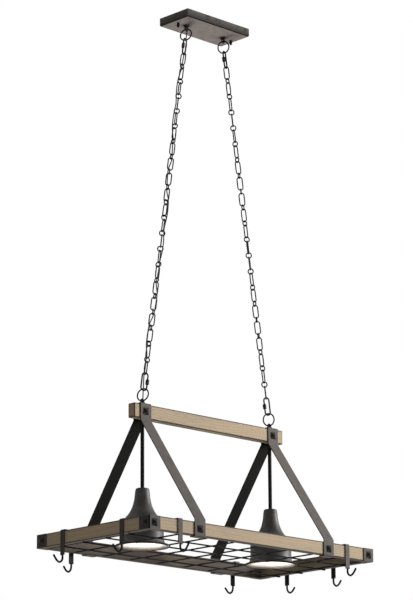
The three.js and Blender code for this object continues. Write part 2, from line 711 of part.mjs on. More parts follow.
function grid() {
  const radius = GRID_WIRE / 2;
  const lower = railBottom - GAP - radius;
  const upper = lower + GRID_WIRE - GRID_WELD;
  const long = FRAME_LENGTH / 2 - GRID_INSET;
  const short = FRAME_WIDTH / 2 - RAIL_THICKNESS - GAP;
  const wires = [];
  const countX = Math.floor((FRAME_LENGTH / 2 - RAIL_THICKNESS) / GRID_STEP_X);
  for (let i = -countX; i <= countX; i += 1) {
    const x = i * GRID_STEP_X;
    for (const [from, to] of stretches(short, Math.abs(x) - STRAP_X, [0])) {
      wires.push(alongY(radius, 6, x, from, to, upper));
    }
  }
  const countY = Math.floor((FRAME_WIDTH / 2 - RAIL_THICKNESS) / GRID_STEP_Y + 0.5);
  for (let i = -countY; i < countY; i += 1) {
    const y = (i + 0.5) * GRID_STEP_Y;
    for (const [from, to] of stretches(long, y, [-STRAP_X, STRAP_X])) {
      wires.push(alongX(radius, 6, from, to, y, lower));
    }
  }
  for (const x of [-STRAP_X, STRAP_X]) {
    wires.push(new THREE.TorusGeometry(hoopRadius, radius, 6, 24).translate(x, 0, (upper + lower) / 2));
  }
  return join(wires);
}

// ---------------------------------------------------------------- lamps

// A spun shell, given by its outside from top to bottom.
function shell(outside) {
  const inside = offsetPath(outside, -SHADE_WALL).reverse();
  return turned([...outside, ...inside, outside[0]].map((point) => [point.x, point.y]), 16);
}

// The upper part of a lamp's shade, from its top hole to the seam; heights are over the rails' underside.
function bell() {
  const neck = new THREE.SplineCurve([
    new THREE.Vector2(20.6, SHADE_TOP - 2.5),
    new THREE.Vector2(22.3, SHADE_TOP - 9),
    new THREE.Vector2(24.9, SHADE_TOP - 33),
    new THREE.Vector2(31, SHADE_TOP - 57),
    new THREE.Vector2(41.5, SHADE_TOP - 78),
    new THREE.Vector2(54, SHADE_TOP - 93),
    new THREE.Vector2(SHADE_DRUM_RADIUS, SHADE_TOP - 109),
  ]).getPoints(6);
  const top = [stemHole, SHADE_TOP_RADIUS].map((radius) => new THREE.Vector2(radius, SHADE_TOP));
  return shell([...top, ...neck, new THREE.Vector2(SHADE_DRUM_RADIUS, SHADE_SEAM)]);
}

// The straight lower part of the shade, with its flared lip.
function drum() {
  const lip = new THREE.SplineCurve([
    new THREE.Vector2(SHADE_DRUM_RADIUS, SHADE_LIP_HEIGHT),
    new THREE.Vector2(SHADE_DRUM_RADIUS + 4, 0.4 * SHADE_LIP_HEIGHT),
    new THREE.Vector2(SHADE_RIM_RADIUS, -SHADE_RIM_DROP),
  ]).getPoints(3);
  return shell([new THREE.Vector2(SHADE_DRUM_RADIUS, SHADE_SEAM - GAP), ...lip]);
}

function stem() {
  const outer = STEM_DIAMETER / 2;
  const bore = STEM_BORE / 2;
  const top = beamBottom - railBottom + STEM_IN_BEAM;
  const bottom = SHADE_TOP - SHADE_WALL - GAP - STEM_IN_SOCKET;
  return turned([[bore, bottom], [outer, bottom], [outer, top], [bore, top], [bore, bottom]], 12);
}

function socket() {
  const top = SHADE_TOP - SHADE_WALL - GAP;
  const low = top - SOCKET_LENGTH;
  const bulbHole = BULB_BASE_RADIUS + GAP;
  return turned([
    [0, top - STEM_IN_SOCKET - GAP],
    [stemHole, top - STEM_IN_SOCKET - GAP],
    [stemHole, top],
    [stemHole + 3, top],
    [SOCKET_RADIUS, top - SOCKET_SHOULDER],
    [SOCKET_RADIUS, low],
    [bulbHole, low],
    [bulbHole, low + SOCKET_MOUTH_DEPTH],
    [0, low + SOCKET_MOUTH_DEPTH],
  ], 12);
}

function bulb() {
  const low = SHADE_TOP - SHADE_WALL - GAP - SOCKET_LENGTH;
  const end = low - BULB_LENGTH;
  const middle = end + BULB_RADIUS;
  const glass = new THREE.SplineCurve([
    new THREE.Vector2(BULB_BASE_RADIUS, low - 4),
    new THREE.Vector2(0.62 * BULB_RADIUS, middle + 1.25 * BULB_RADIUS),
    new THREE.Vector2(BULB_RADIUS, middle),
    new THREE.Vector2(0.72 * BULB_RADIUS, middle - 0.69 * BULB_RADIUS),
    new THREE.Vector2(0, end),
  ]).getPoints(8);
  const cap = low + SOCKET_MOUTH_DEPTH - GAP;
  return turned([[0, cap], [BULB_BASE_RADIUS, cap], ...glass.map((point) => [point.x, point.y])], 12);
}

function addLamps() {
  for (const [side, x] of [['left', -STRAP_X], ['right', STRAP_X]]) {
    const lamp = new THREE.Group();
    lamp.position.set(x, 0, railBottom);
    rack.add(lamp);
    piece(`lamp_stem_${side}`, stem(), ironLook, lamp);
    piece(`lamp_shade_${side}`, bell(), shadeLook, lamp);
    piece(`lamp_drum_${side}`, drum(), shadeLook, lamp);
    piece(`lamp_socket_${side}`, socket(), socketLook, lamp);
    piece(`lamp_bulb_${side}`, bulb(), bulbLook, lamp);
  }
}

// ---------------------------------------------------------------- hooks

// A hook whose rail's outer lower edge is at the origin, opening towards +X.
function hook() {
  const inside = -RAIL_THICKNESS - GAP;
  const over = RAIL_HEIGHT + GAP;
  const strap = bentBar([
    [inside, RAIL_HEIGHT - HOOK_INNER_LEG],
    [inside, over],
    [GAP, over],
    [GAP, -HOOK_DROP],
  ], HOOK_THICKNESS, HOOK_WIDTH);
  const start = GAP + HOOK_THICKNESS / 2;
  const low = -HOOK_DROP - HOOK_BOWL_DEPTH;
  const bend = HOOK_BOWL_DEPTH - HOOK_ROD_STRAIGHT;
  const points = [
    [start, -HOOK_DROP + HOOK_ROD_LAP],
    [start, -HOOK_DROP - HOOK_ROD_STRAIGHT],
    [start + 0.3 * bend, low + 0.38 * bend],
    [start + 0.34 * HOOK_REACH, low],
    [start + 0.62 * HOOK_REACH, low + 0.2 * HOOK_BOWL_DEPTH],
    [start + 0.82 * HOOK_REACH, low + 0.55 * HOOK_BOWL_DEPTH],
    [start + HOOK_REACH, low + 0.94 * HOOK_BOWL_DEPTH],
  ].map(([x, z]) => new THREE.Vector3(x, 0, z));
  const curve = new THREE.CatmullRomCurve3(points, false, 'centripetal');
  return join([strap, tube(curve, HOOK_ROD / 2, 6, 10)]);
}

function addHooks() {
  const rails = {
    front: { turn: -90, place: (along) => [along, -FRAME_WIDTH / 2] },
    back: { turn: 90, place: (along) => [along, FRAME_WIDTH / 2] },
    left: { turn: 180, place: (along) => [-FRAME_LENGTH / 2, along] },
    right: { turn: 0, place: (along) => [FRAME_LENGTH / 2, along] },
  };
  for (const { name, rail, end, from } of HOOKS) {
    const long = rail === 'front' || rail === 'back';
    const along = end * (long ? STRAP_X + from : from);
    const [x, y] = rails[rail].place(along);
    const mesh = piece(name, hook(), ironLook);
    mesh.position.set(x, y, railBottom);
    mesh.rotation.z = rad(rails[rail].turn);
  }
}

// ---------------------------------------------------------------- the whole rack

addCanopy();
addChain('left', -1, LEFT_CHAIN);
addChain('right', 1, RIGHT_CHAIN);
addLampWire();
addBeam();
addFrame();
piece('grid', grid(), ironLook);
addLamps();
addHooks();

export default rack;
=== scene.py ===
"""Looks of a hanging pot rack: an oak frame with a wire grid, hung by two chains from a canopy.

Metres, +Z up, X along the long rails and Y along the short ones. Left is -X and front is -Y. Every
piece is a surface worked out from the frame's boxes and from the sizes in the sidebar.
"""

import math

import bpy
import numpy as np
from mathutils import Matrix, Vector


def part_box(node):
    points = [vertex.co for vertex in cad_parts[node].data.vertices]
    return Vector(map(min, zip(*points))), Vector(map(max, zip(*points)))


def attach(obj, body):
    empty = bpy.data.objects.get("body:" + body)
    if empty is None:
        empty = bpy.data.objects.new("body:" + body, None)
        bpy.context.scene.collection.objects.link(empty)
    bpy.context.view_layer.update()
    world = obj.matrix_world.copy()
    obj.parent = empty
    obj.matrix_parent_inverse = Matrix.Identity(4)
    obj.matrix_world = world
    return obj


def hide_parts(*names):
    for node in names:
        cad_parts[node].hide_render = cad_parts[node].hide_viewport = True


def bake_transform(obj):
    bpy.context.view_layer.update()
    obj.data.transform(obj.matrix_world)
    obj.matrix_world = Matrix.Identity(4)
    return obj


bl_info = {
    "name": "Hanging Pot Rack",
    "version": (1, 0, 0),
    "blender": (4, 5, 0),
    "location": "View3D > Sidebar > Pot Rack",
    "description": "Makes an oak and iron pot rack with chains, lamps and hooks round its frame",
    "category": "Object",
}

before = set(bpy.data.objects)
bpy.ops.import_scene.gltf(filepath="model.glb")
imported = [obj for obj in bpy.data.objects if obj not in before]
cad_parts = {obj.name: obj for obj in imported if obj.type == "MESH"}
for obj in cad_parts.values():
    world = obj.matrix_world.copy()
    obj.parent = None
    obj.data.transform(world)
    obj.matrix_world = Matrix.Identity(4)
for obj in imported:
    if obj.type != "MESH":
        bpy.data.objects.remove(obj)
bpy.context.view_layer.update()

SIDES = {"left": -1, "right": 1}
ENDS = {"front": -1, "back": 1}
UP = np.array([0.0, 0.0, 1.0])
GAP = 0.0003  # running clearance between separate pieces
PHOTO_WIDTH, PHOTO_HEIGHT = 413, 600  # pixels


# ---------------------------------------------------------------- sizes and colours


def length(name, default, about):
    """A size in metres, shown in the sidebar."""
    return bpy.props.FloatProperty(
        name=name, description=about, default=default, min=0.0, precision=4, unit="LENGTH"
    )


def turn(name, default, about):
    """An angle in degrees as written here, kept in radians."""
    return bpy.props.FloatProperty(
        name=name, description=about, default=math.radians(default), subtype="ANGLE"
    )


def colour(name, red, green, blue, about):
    """A colour, written as the screen values from 0 to 255 that it shows in plain light."""
    screen = np.array([red, green, blue]) / 255
    linear = np.where(screen > 0.04045, ((screen + 0.055) / 1.055) ** 2.4, screen / 12.92)
    return bpy.props.FloatVectorProperty(
        name=name, description=about, default=linear.tolist(), min=0.0, max=1.0, subtype="COLOR"
    )


class WireSizes(bpy.types.PropertyGroup):
    """Sizes of the eyes, rings, links and the lamp wire."""

    eye_wire: length("Eye wire", 0.005, "Thickness of an eye bolt's wire")
    eye_radius: length("Eye radius", 0.009, "Radius of an eye, to the middle of its wire")
    collar: length("Collar", 0.0175, "Diameter of the collar that an eye stands on")
    collar_height: length("Collar height", 0.0045, "Height of an eye's collar")
    shank: length("Shank", 0.008, "Diameter of an eye bolt's shank")
    nut_flats: length("Nut flats", 0.013, "Width over the flats of a canopy eye's lock nut")
    nut_height: length("Nut height", 0.006, "Height of that nut")
    canopy_eye_turn: turn("Canopy eye turn", 20, "Direction of the canopy eyes' plane")
    beam_eye_turn: turn("Beam eye turn", 15.8, "Direction of the beam eyes' plane")
    ring_wire: length("Ring wire", 0.0045, "Thickness of the wire of the rings at a chain's ends")
    ring_radius: length("Ring radius", 0.01975, "Radius of those rings, to the middle of the wire")
    quick_wire: length("Quick link wire", 0.005, "Thickness of a quick link's wire")
    quick_length: length("Quick link length", 0.062, "Length of a quick link over all")
    quick_width: length("Quick link width", 0.024, "Width of a quick link over all")
    sleeve_flats: length("Sleeve flats", 0.010, "Width over the flats of a quick link's sleeve")
    sleeve_length: length("Sleeve length", 0.016, "Length of a quick link's sleeve")
    link_wire: length("Link wire", 0.004, "Thickness of the chain's wire")
    link_length: length("Link length", 0.0468, "Length of a long link over all")
    link_width: length("Link width", 0.0208, "Width of a long link over all")
    small_ring: length("Small ring", 0.02133, "Outside diameter of the rings between long links")
    cord: length("Lamp wire", 0.0038, "Diameter of the lamp wire's sheath")


class TimberSizes(bpy.types.PropertyGroup):
    """Sizes of the boards' worn corners."""

    arris: length("Arris", 0.0016, "Radius to which a board's corners are rounded")
    stain: length("Edge stain", 0.0034, "Width of the dark stain beside each corner")


class IronSizes(bpy.types.PropertyGroup):
    """Sizes of the forged iron pieces."""

    arris: length("Arris", 0.0005, "Radius to which an iron edge is rounded")
    wear: length("Worn band", 0.0008, "Width of the bright band along a worn edge")
    bend: length("Bend", 0.0025, "Radius of a bend in a strap, to the middle of its thickness")
    # That black line is painted shade down the rounded bend.
    bend_line: length("Bend line", 0.0045, "Half the width of the black line down a bracket's bend")
    over_rail: length("Bend over rail", 0.0085, "Height of a strap's lower bend over the rail")
    under_beam: length("Bend under beam", 0.006, "Depth of a strap's upper bend under the beam")
    canopy_sheet: length("Canopy sheet", 0.0016, "Thickness of the canopy's sheet")
    canopy_bevel: length("Canopy bevel", 0.003, "Bevel round the canopy's lower edge")
    canopy_corner: length("Canopy corner", 0.0016, "Radius of the canopy's upright corners")
    stud_side: length("Stud side", 0.022, "Side of a pyramid stud's base")
    stud_height: length("Stud height", 0.008, "Height of a pyramid stud")
    grid_wire: length("Grid wire", 0.005, "Thickness of the grid's wires")
    grid_weld: length("Grid weld", 0.0005, "How far crossing wires sink into each other")
    grid_step_x: length("Grid step along", 0.1143, "Distance between wires along the long rails")
    grid_step_y: length("Grid step across", 0.1016, "Distance between wires along the short rails")
    hoop_clearance: length("Hoop clearance", 0.002, "Gap between a shade's rim and its hoop")


class HookSizes(bpy.types.PropertyGroup):
    """Sizes of the sliding hooks."""

    width: length("Width", 0.018, "Width of a hook's strap")
    thickness: length("Thickness", 0.003, "Thickness of a hook's strap")
    inner_leg: length("Inner leg", 0.014, "How far the strap comes down inside the rail")
    drop: length("Drop", 0.033, "How far the strap goes on under the rail")
    rod: length("Rod", 0.0063, "Thickness of the hook's rod")
    rod_straight: length("Straight rod", 0.011, "Rod under the strap, before it bends")
    bowl_depth: length("Bowl depth", 0.0225, "From the strap's end to the rod in the bowl")
    reach: length("Reach", 0.036, "From the strap to the tip")
    rod_lap: length("Rod lap", 0.005, "Length of rod that is welded up the strap")


class LampSizes(bpy.types.PropertyGroup):
    """Sizes of the lamps."""

    stem: length("Stem", 0.012, "Diameter of a lamp's stem")
    stem_wall: length("Stem wall", 0.002, "Wall of a lamp's stem")
    drum: length("Drum radius", 0.0655, "Radius of the shade's straight lower part")
    rim: length("Rim radius", 0.0785, "Radius of the shade's rim")
    lip: length("Lip height", 0.027, "Height of the flared lip over the rim")
    bead: length("Rim bead", 0.0014, "Radius of the rolled rim")
    wall: length("Wall", 0.0015, "Thickness of the shade's sheet")
    socket: length("Socket radius", 0.017, "Radius of the lamp holder")
    bulb: length("Bulb radius", 0.030, "Radius of the bulb's glass")
    bulb_base: length("Bulb base radius", 0.013, "Radius of the bulb's screw base")


class Colours(bpy.types.PropertyGroup):
    """Colours of the finishes."""

    oak_light: colour("Oak, light", 187, 166, 136, "The wood between its grain lines")
    oak_mid: colour("Oak, middle", 160, 138, 112, "The wood's grain lines")
    oak_dark: colour("Oak, dark", 104, 82, 60, "The wood's pores and deepest lines")
    oak_grey: colour("Oak, weathered", 158, 146, 128, "Grey patches where the wood is weathered")
    # Also the painted shade on the beam's underside and on the rails' undersides and inner faces.
    oak_edge: colour("Oak, edge", 44, 33, 25, "The dark stain along every corner")
    # Painted light: a lighter copy of the iron for the canopy's underside, which light from below
    # brightens.
    iron_bright: colour("Iron, bright", 162, 151, 145, "The canopy's rubbed underside")
    # The outer faces' plain colour; the iron's darker faces elsewhere are painted shade.
    iron: colour("Iron", 100, 95, 91, "Rubbed faces of the straps, brackets and hooks")
    # Painted shade: a darker copy of the iron for faces that the lamps light less.
    iron_smoky: colour("Iron, smoky", 72, 69, 65, "Faces of the iron that are rubbed less")
    iron_stud: colour("Iron, studs", 44, 42, 40, "The pyramid studs")
    # Also used for the painted shade round the canopy's eye bolts.
    iron_dark: colour("Iron, dark", 42, 40, 38, "Darker patches in the lacquer")
    iron_worn: colour("Iron, worn", 160, 153, 146, "The iron's rubbed edges")
    # On rods, rings and chains this is their colour; on the iron's edges and inner faces it is
    # painted shade.
    black: colour("Black lacquer", 30, 29, 28, "Edges, inner faces, rods, rings and chains")
    black_worn: colour("Black lacquer, worn", 92, 87, 82, "Black lacquer where it is rubbed")
    steel: colour("Steel", 168, 166, 162, "The zinc-plated bar in the canopy")
    shade: colour("Shade", 74, 72, 70, "Outside of the shades")
    shade_dark: colour("Shade, dark", 44, 42, 41, "Darker patches outside on the shades")
    enamel: colour("Enamel", 232, 226, 220, "Inside of the shades")
    # Painted shade: the enamel's darker colour near a shade's rim.
    enamel_rim: colour("Enamel, rim", 88, 80, 74, "The stained enamel near a shade's rim")
    socket: colour("Socket", 226, 220, 206, "The glazed lamp holders")
    glass: colour("Glass", 255, 250, 243, "The bulbs' frosted glass")
    cord: colour("Lamp wire", 34, 30, 27, "The lamp wire's sheath")
    floor: colour("Floor", 236, 236, 234, "The studio floor")


class StageSettings(bpy.types.PropertyGroup):
    """The camera's place and the studio's light."""

    azimuth: turn("Azimuth", -44.2, "Direction of the camera from the rack's upright middle line")
    distance: length("Distance", 7.99035, "Level distance from that line to the camera")
    height: bpy.props.FloatProperty(
        name="Height",
        description="Camera's height from the ceiling, which is negative",
        default=-3.0127,
        unit="LENGTH",
    )
    pitch: turn("Pitch", 14.56, "How far the camera looks up")
    roll: turn("Roll", -0.38, "How far the camera leans to the right")
    focal_pixels: bpy.props.FloatProperty(
        name="Focal length", description="In pixels of the photograph", default=2584.14
    )
    floor_drop: length("Floor drop", 8.0, "From the ceiling to the floor")
    key: bpy.props.FloatProperty(
        name="Key lamp", description="Power of the lamp at the front", default=50.0, unit="POWER"
    )
    under: bpy.props.FloatProperty(
        name="Under lamp",
        description="Power of the lamp under the back",
        default=180.0,
        unit="POWER",
    )
    fill: bpy.props.FloatProperty(
        name="Fill", description="Strength of the light from all sides", default=0.205
    )


# ---------------------------------------------------------------- surfaces


def unit(vectors):
    """Vectors scaled to length 1."""
    return vectors / np.linalg.norm(vectors, axis=-1, keepdims=True)


def node_box(node):
    """Lowest and highest corner of a frame node."""
    low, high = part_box(node)
    return np.array(low), np.array(high)


def node_middle(node):
    """Middle of a frame node's box."""
    low, high = node_box(node)
    return (low + high) / 2


def run_lengths(line):
    """Distance along a line from its first point to each of its points."""
    steps = np.linalg.norm(np.diff(line, axis=0), axis=1)
    return np.concatenate([[0.0], np.cumsum(steps)])


def directions(line, closed, reference):
    """Three directions at each point of a line: along it, across it and beside it.

    Along is from the point before to the point after. Across is the reference less its share along
    the line, at length 1, and beside is along x across.
    """
    if closed:
        ahead = np.roll(line, -1, axis=0) - np.roll(line, 1, axis=0)
    else:
        ahead = np.gradient(line, axis=0)
    along = unit(ahead)
    reference = np.asarray(reference, float)
    across = unit(reference - (along @ reference)[:, None] * along)
    return along, across, np.cross(along, across)


def curve_through(points, steps):
    """A smooth curve through points: a centripetal Catmull-Rom spline.

    Between points 1 and 2 it is the cubic with those ends, whose end slopes weigh the chords on
    both sides by the square roots of their lengths. The ends go on straight.
    """
    points = np.asarray(points, float)
    ends = [2 * points[:1] - points[1:2], points, 2 * points[-1:] - points[-2:-1]]
    p = np.concatenate(ends)
    p0, p1, p2, p3 = p[:-3, None], p[1:-2, None], p[2:-1, None], p[3:, None]
    root = np.sqrt(np.linalg.norm(np.diff(p, axis=0), axis=1))[:, None, None]
    d0, d1, d2 = root[:-2], root[1:-1], root[2:]
    slope1 = ((p1 - p0) / d0 - (p2 - p0) / (d0 + d1) + (p2 - p1) / d1) * d1
    slope2 = ((p2 - p1) / d1 - (p3 - p1) / (d1 + d2) + (p3 - p2) / d2) * d1
    t = (np.arange(steps) / steps)[None, :, None]
    cubic = (2 * p1 - 2 * p2 + slope1 + slope2) * t**3
    square = (-3 * p1 + 3 * p2 - 2 * slope1 - slope2) * t**2
    curve = cubic + square + slope1 * t + p1
    return np.concatenate([curve.reshape(-1, points.shape[1]), points[-1:]])


def bent_line(corners, radius, steps=7):
    """A line of straight runs whose corners are arcs.

    An arc leaves its runs at radius x tan(half the turn) from the corner, and its point at angle s
    is the arc's middle + radius (cos s x out + sin s x along).
    """
    corners = np.asarray(corners, float)
    before = unit(corners[1:-1] - corners[:-2])
    after = unit(corners[2:] - corners[1:-1])
    half = np.arccos(np.clip(np.sum(before * after, axis=1), -1, 1)) / 2
    inward = unit(after - before)
    middle = corners[1:-1] + inward * (radius / np.cos(half))[:, None]
    along = unit(before + after)
    swing = half[:, None] * np.linspace(-1, 1, steps)[None, :]
    arcs = (
        middle[:, None]
        - radius * np.cos(swing)[..., None] * inward[:, None]
        + radius * np.sin(swing)[..., None] * along[:, None]
    )
    return np.concatenate([corners[:1], arcs.reshape(-1, 3), corners[-1:]])


def rod(line, radius, sides=12, closed=False, reference=(0, 1, 0)):
    """A round section carried along a line.

    P(i, v) = M_i + r_i (cos v across_i + sin v beside_i), where r_i is the radius there.
    """
    _, across, beside = directions(line, closed, reference)
    v = 2 * np.pi * np.arange(sides) / sides
    radius = np.broadcast_to(radius, len(line))[:, None, None]
    ring = np.cos(v)[:, None] * across[:, None] + np.sin(v)[:, None] * beside[:, None]
    return line[:, None] + radius * ring


TIP_SHARE = 0.12  # of a quarter turn: where a half-round end starts, so that its tip isn't a point


def round_ended(line, radius, steps=4):
    """A line and its radii with half-round ends: at angle s the radius is r sin s, and the point is
    r (1 - cos s) in from the end."""
    s = np.linspace(TIP_SHARE, 1, steps) * np.pi / 2
    inset = radius * (1 - np.cos(s))[:, None]
    start = line[:1] + inset * unit(line[1] - line[0])
    end = line[-1:] + inset[::-1] * unit(line[-2] - line[-1])
    grown = np.concatenate([start, line[1:-1], end])
    radii = np.full(len(grown), radius)
    radii[:steps] = radius * np.sin(s)
    radii[-steps:] = radius * np.sin(s)[::-1]
    return grown, radii


def turned(outline, sides, centre, widest=np.inf):
    """An outline of (radius, height) turned about an upright line.

    P(i, v) = centre + (r cos v, r sin v, z_i), where r is r_i, or widest where that is less.
    """
    v = 2 * np.pi * np.arange(sides) / sides
    radius, height = np.asarray(outline, float).T[:, :, None]
    radius = np.minimum(radius, widest)
    level = np.broadcast_to(height, (len(height), sides))
    return np.stack([radius * np.cos(v), radius * np.sin(v), level], axis=-1) + centre


def nut(flats, face, bore, low, high, chamfer, centre, sides=48):
    """A hexagonal nut with a bore, turned and trimmed to half its flats / cos of the angle from the
    middle of a flat. Each end is a flat ring out to the face's radius, from which a chamfer leads
    to the full hexagon, whose corners are flats / root 3 from the middle."""
    v = 2 * np.pi * np.arange(sides) / sides
    hexagon = flats / 2 / np.cos((v + np.pi / 6) % (np.pi / 3) - np.pi / 6)
    corner = flats / math.sqrt(3)
    outline = [
        (bore, low),
        (face, low),
        (corner, low + chamfer),
        (corner, high - chamfer),
        (face, high),
        (bore, high),
    ]
    return turned(outline, sides, centre, hexagon)


def thread_outline(crest, depth, heights):
    """A thread's outline: its radius is the crest's, less the depth at every second height."""
    return np.stack([crest - depth * (np.arange(len(heights)) % 2), heights], axis=1)


def circle_line(radius, steps):
    """An upright circle in the XZ plane: M(u) = radius (cos u, 0, sin u)."""
    u = 2 * np.pi * np.arange(steps) / steps
    return radius * np.stack([np.cos(u), 0 * u, np.sin(u)], axis=-1)


def oval_line(long, wide, steps, straights):
    """An upright oval in the XZ plane: half circles of radius wide / 2 about
    (0, 0, +-(long - wide) / 2), joined by straights that have a point at each given share of their
    half length."""
    u = np.linspace(0, np.pi, steps)
    radius, shift = wide / 2, (long - wide) / 2
    top = np.stack([radius * np.cos(u), 0 * u, shift + radius * np.sin(u)], axis=-1)
    share = np.asarray(straights, float)[::-1]
    left = np.stack([-radius + 0 * share, 0 * share, shift * share], axis=-1)
    return np.concatenate([top, left, top * [-1, 1, -1], left * [-1, 1, -1]])


LEAST_CORNER = 0.15  # of the arris, for a rectangle that is drawn in
MARGIN_SHARE = 0.8  # of the way to a side's middle, which a corner's margin stays within


def rectangle_loop(wide, thick, inset, arris, margin, steps=4):
    """A rectangle with rounded corners, drawn in by each inset, as one row of points for each.

    A corner point is the corner's middle + rc (cos s, sin s), where rc = arris - inset but never
    under 0.15 arris. A point lies on each side of a corner at the margin, or at 0.8 of the way to
    the side's middle if that is nearer. Also says which points are on a corner, as 1.
    """
    inset = np.asarray(inset, float)[:, None, None, None]
    half = np.array([wide, thick]) / 2
    sign = np.array([[1, 1], [-1, 1], [-1, -1], [1, -1]])[None, :, None, :]
    side = np.array([[-1, 0], [0, -1], [1, 0], [0, 1]])[None]
    corner = np.maximum(arris - inset, LEAST_CORNER * arris)
    s = np.linspace(0, np.pi / 2, steps)[None, :] + np.pi / 2 * np.arange(4)[:, None]
    round_ = np.stack([np.cos(s), np.sin(s)], axis=-1)[None]
    flat = half - inset - corner
    arcs = sign * flat + corner * round_
    reach = np.where(side == 0, np.inf, np.abs(side * flat[:, :, 0]))
    room = MARGIN_SHARE * reach.min(axis=-1, keepdims=True)
    beside = side * np.minimum(margin, room)
    after = arcs[:, :, -1] + beside
    before = np.roll(arcs[:, :, 0], -1, axis=1) - beside
    loop = np.concatenate([arcs, after[:, :, None], before[:, :, None]], axis=2)
    on_corner = np.tile(np.r_[np.ones(steps), 0, 0], 4)
    return loop.reshape(len(inset), -1, 2), on_corner


def bar(line, wide, thick, arris, margin, reference, steps=4):
    """A flat bar with rounded corners and ends: a rectangle carried along a line.

    Point k of row i is M_i + x_k across_i + y_k beside_i. At an end, the rectangle is drawn in by
    arris (1 - sin s), at arris (1 - cos s) from the end's face, and on that face by the margin too.
    Gives the points, how worn each is from 0 to 1, and the lengths along and round.
    """
    s = np.linspace(0, np.pi / 2, steps)
    inset = np.r_[arris + margin, arris * (1 - np.sin(s)), 0]
    shift = np.r_[0, arris * (1 - np.cos(s)), arris + margin][:, None]
    worn = np.r_[0, np.ones(steps), 0]
    start = line[0] + shift * unit(line[1] - line[0])
    end = line[-1] + shift[::-1] * unit(line[-2] - line[-1])
    inner = len(line) - 2
    rows = np.concatenate([start, line[1:-1], end])
    _, across, beside = directions(line, False, reference)
    place = np.r_[np.zeros(len(s) + 2, int), np.arange(1, inner + 1), np.full(len(s) + 2, -1)]
    loop, on_corner = rectangle_loop(
        wide, thick, np.r_[inset, np.zeros(inner), inset[::-1]], arris, margin, steps
    )
    points = (
        rows[:, None]
        + loop[..., :1] * across[place][:, None]
        + loop[..., 1:] * beside[place][:, None]
    )
    wear = np.maximum(np.r_[worn, np.zeros(inner), worn[::-1]][:, None], on_corner[None])
    wear[[0, -1]] = 0
    middle = loop[len(s) + 1]
    around = run_lengths(np.concatenate([middle, middle[:1]]))
    return points, wear, run_lengths(rows), around


# Finish of a strap's 24 columns of faces: 0 on the outer face and its corners, 1 on the rest,
# where the black lacquer is painted shade on the inner face and edges.
STRAP_SHADED_FACES = np.r_[np.ones(12, int), np.zeros(9, int), np.ones(3, int)]
# A board's 24 columns of points, with 1 where they bound one of its faces. The third face is the
# underside. The inner face is the second one on the back and left rails and the fourth on the rest.
SECOND_FACE = np.r_[np.zeros(10), 1, 1, np.zeros(12)]
UNDER_FACE = np.r_[np.zeros(16), 1, 1, np.zeros(6)]
FOURTH_FACE = np.r_[np.zeros(22), 1, 1]
# How much painted shade those faces get, from 0 to 1, in the colour of the corners' stain.
BEAM_UNDERSIDE_SHADE = 0.46
RAIL_UNDERSIDE_SHADE = 0.8
LONG_RAIL_INSIDE_SHADE = 0.62
SHORT_RAIL_INSIDE_SHADE = 0.5


def moved(points, spin=None, shift=(0, 0, 0)):
    """Points turned by a 3 x 3 matrix and then shifted."""
    spun = points if spin is None else points @ np.asarray(spin).T
    return spun + np.asarray(shift, float)


def about_z(angle):
    """The matrix of a turn about +Z."""
    return np.array(Matrix.Rotation(angle, 3, "Z"))


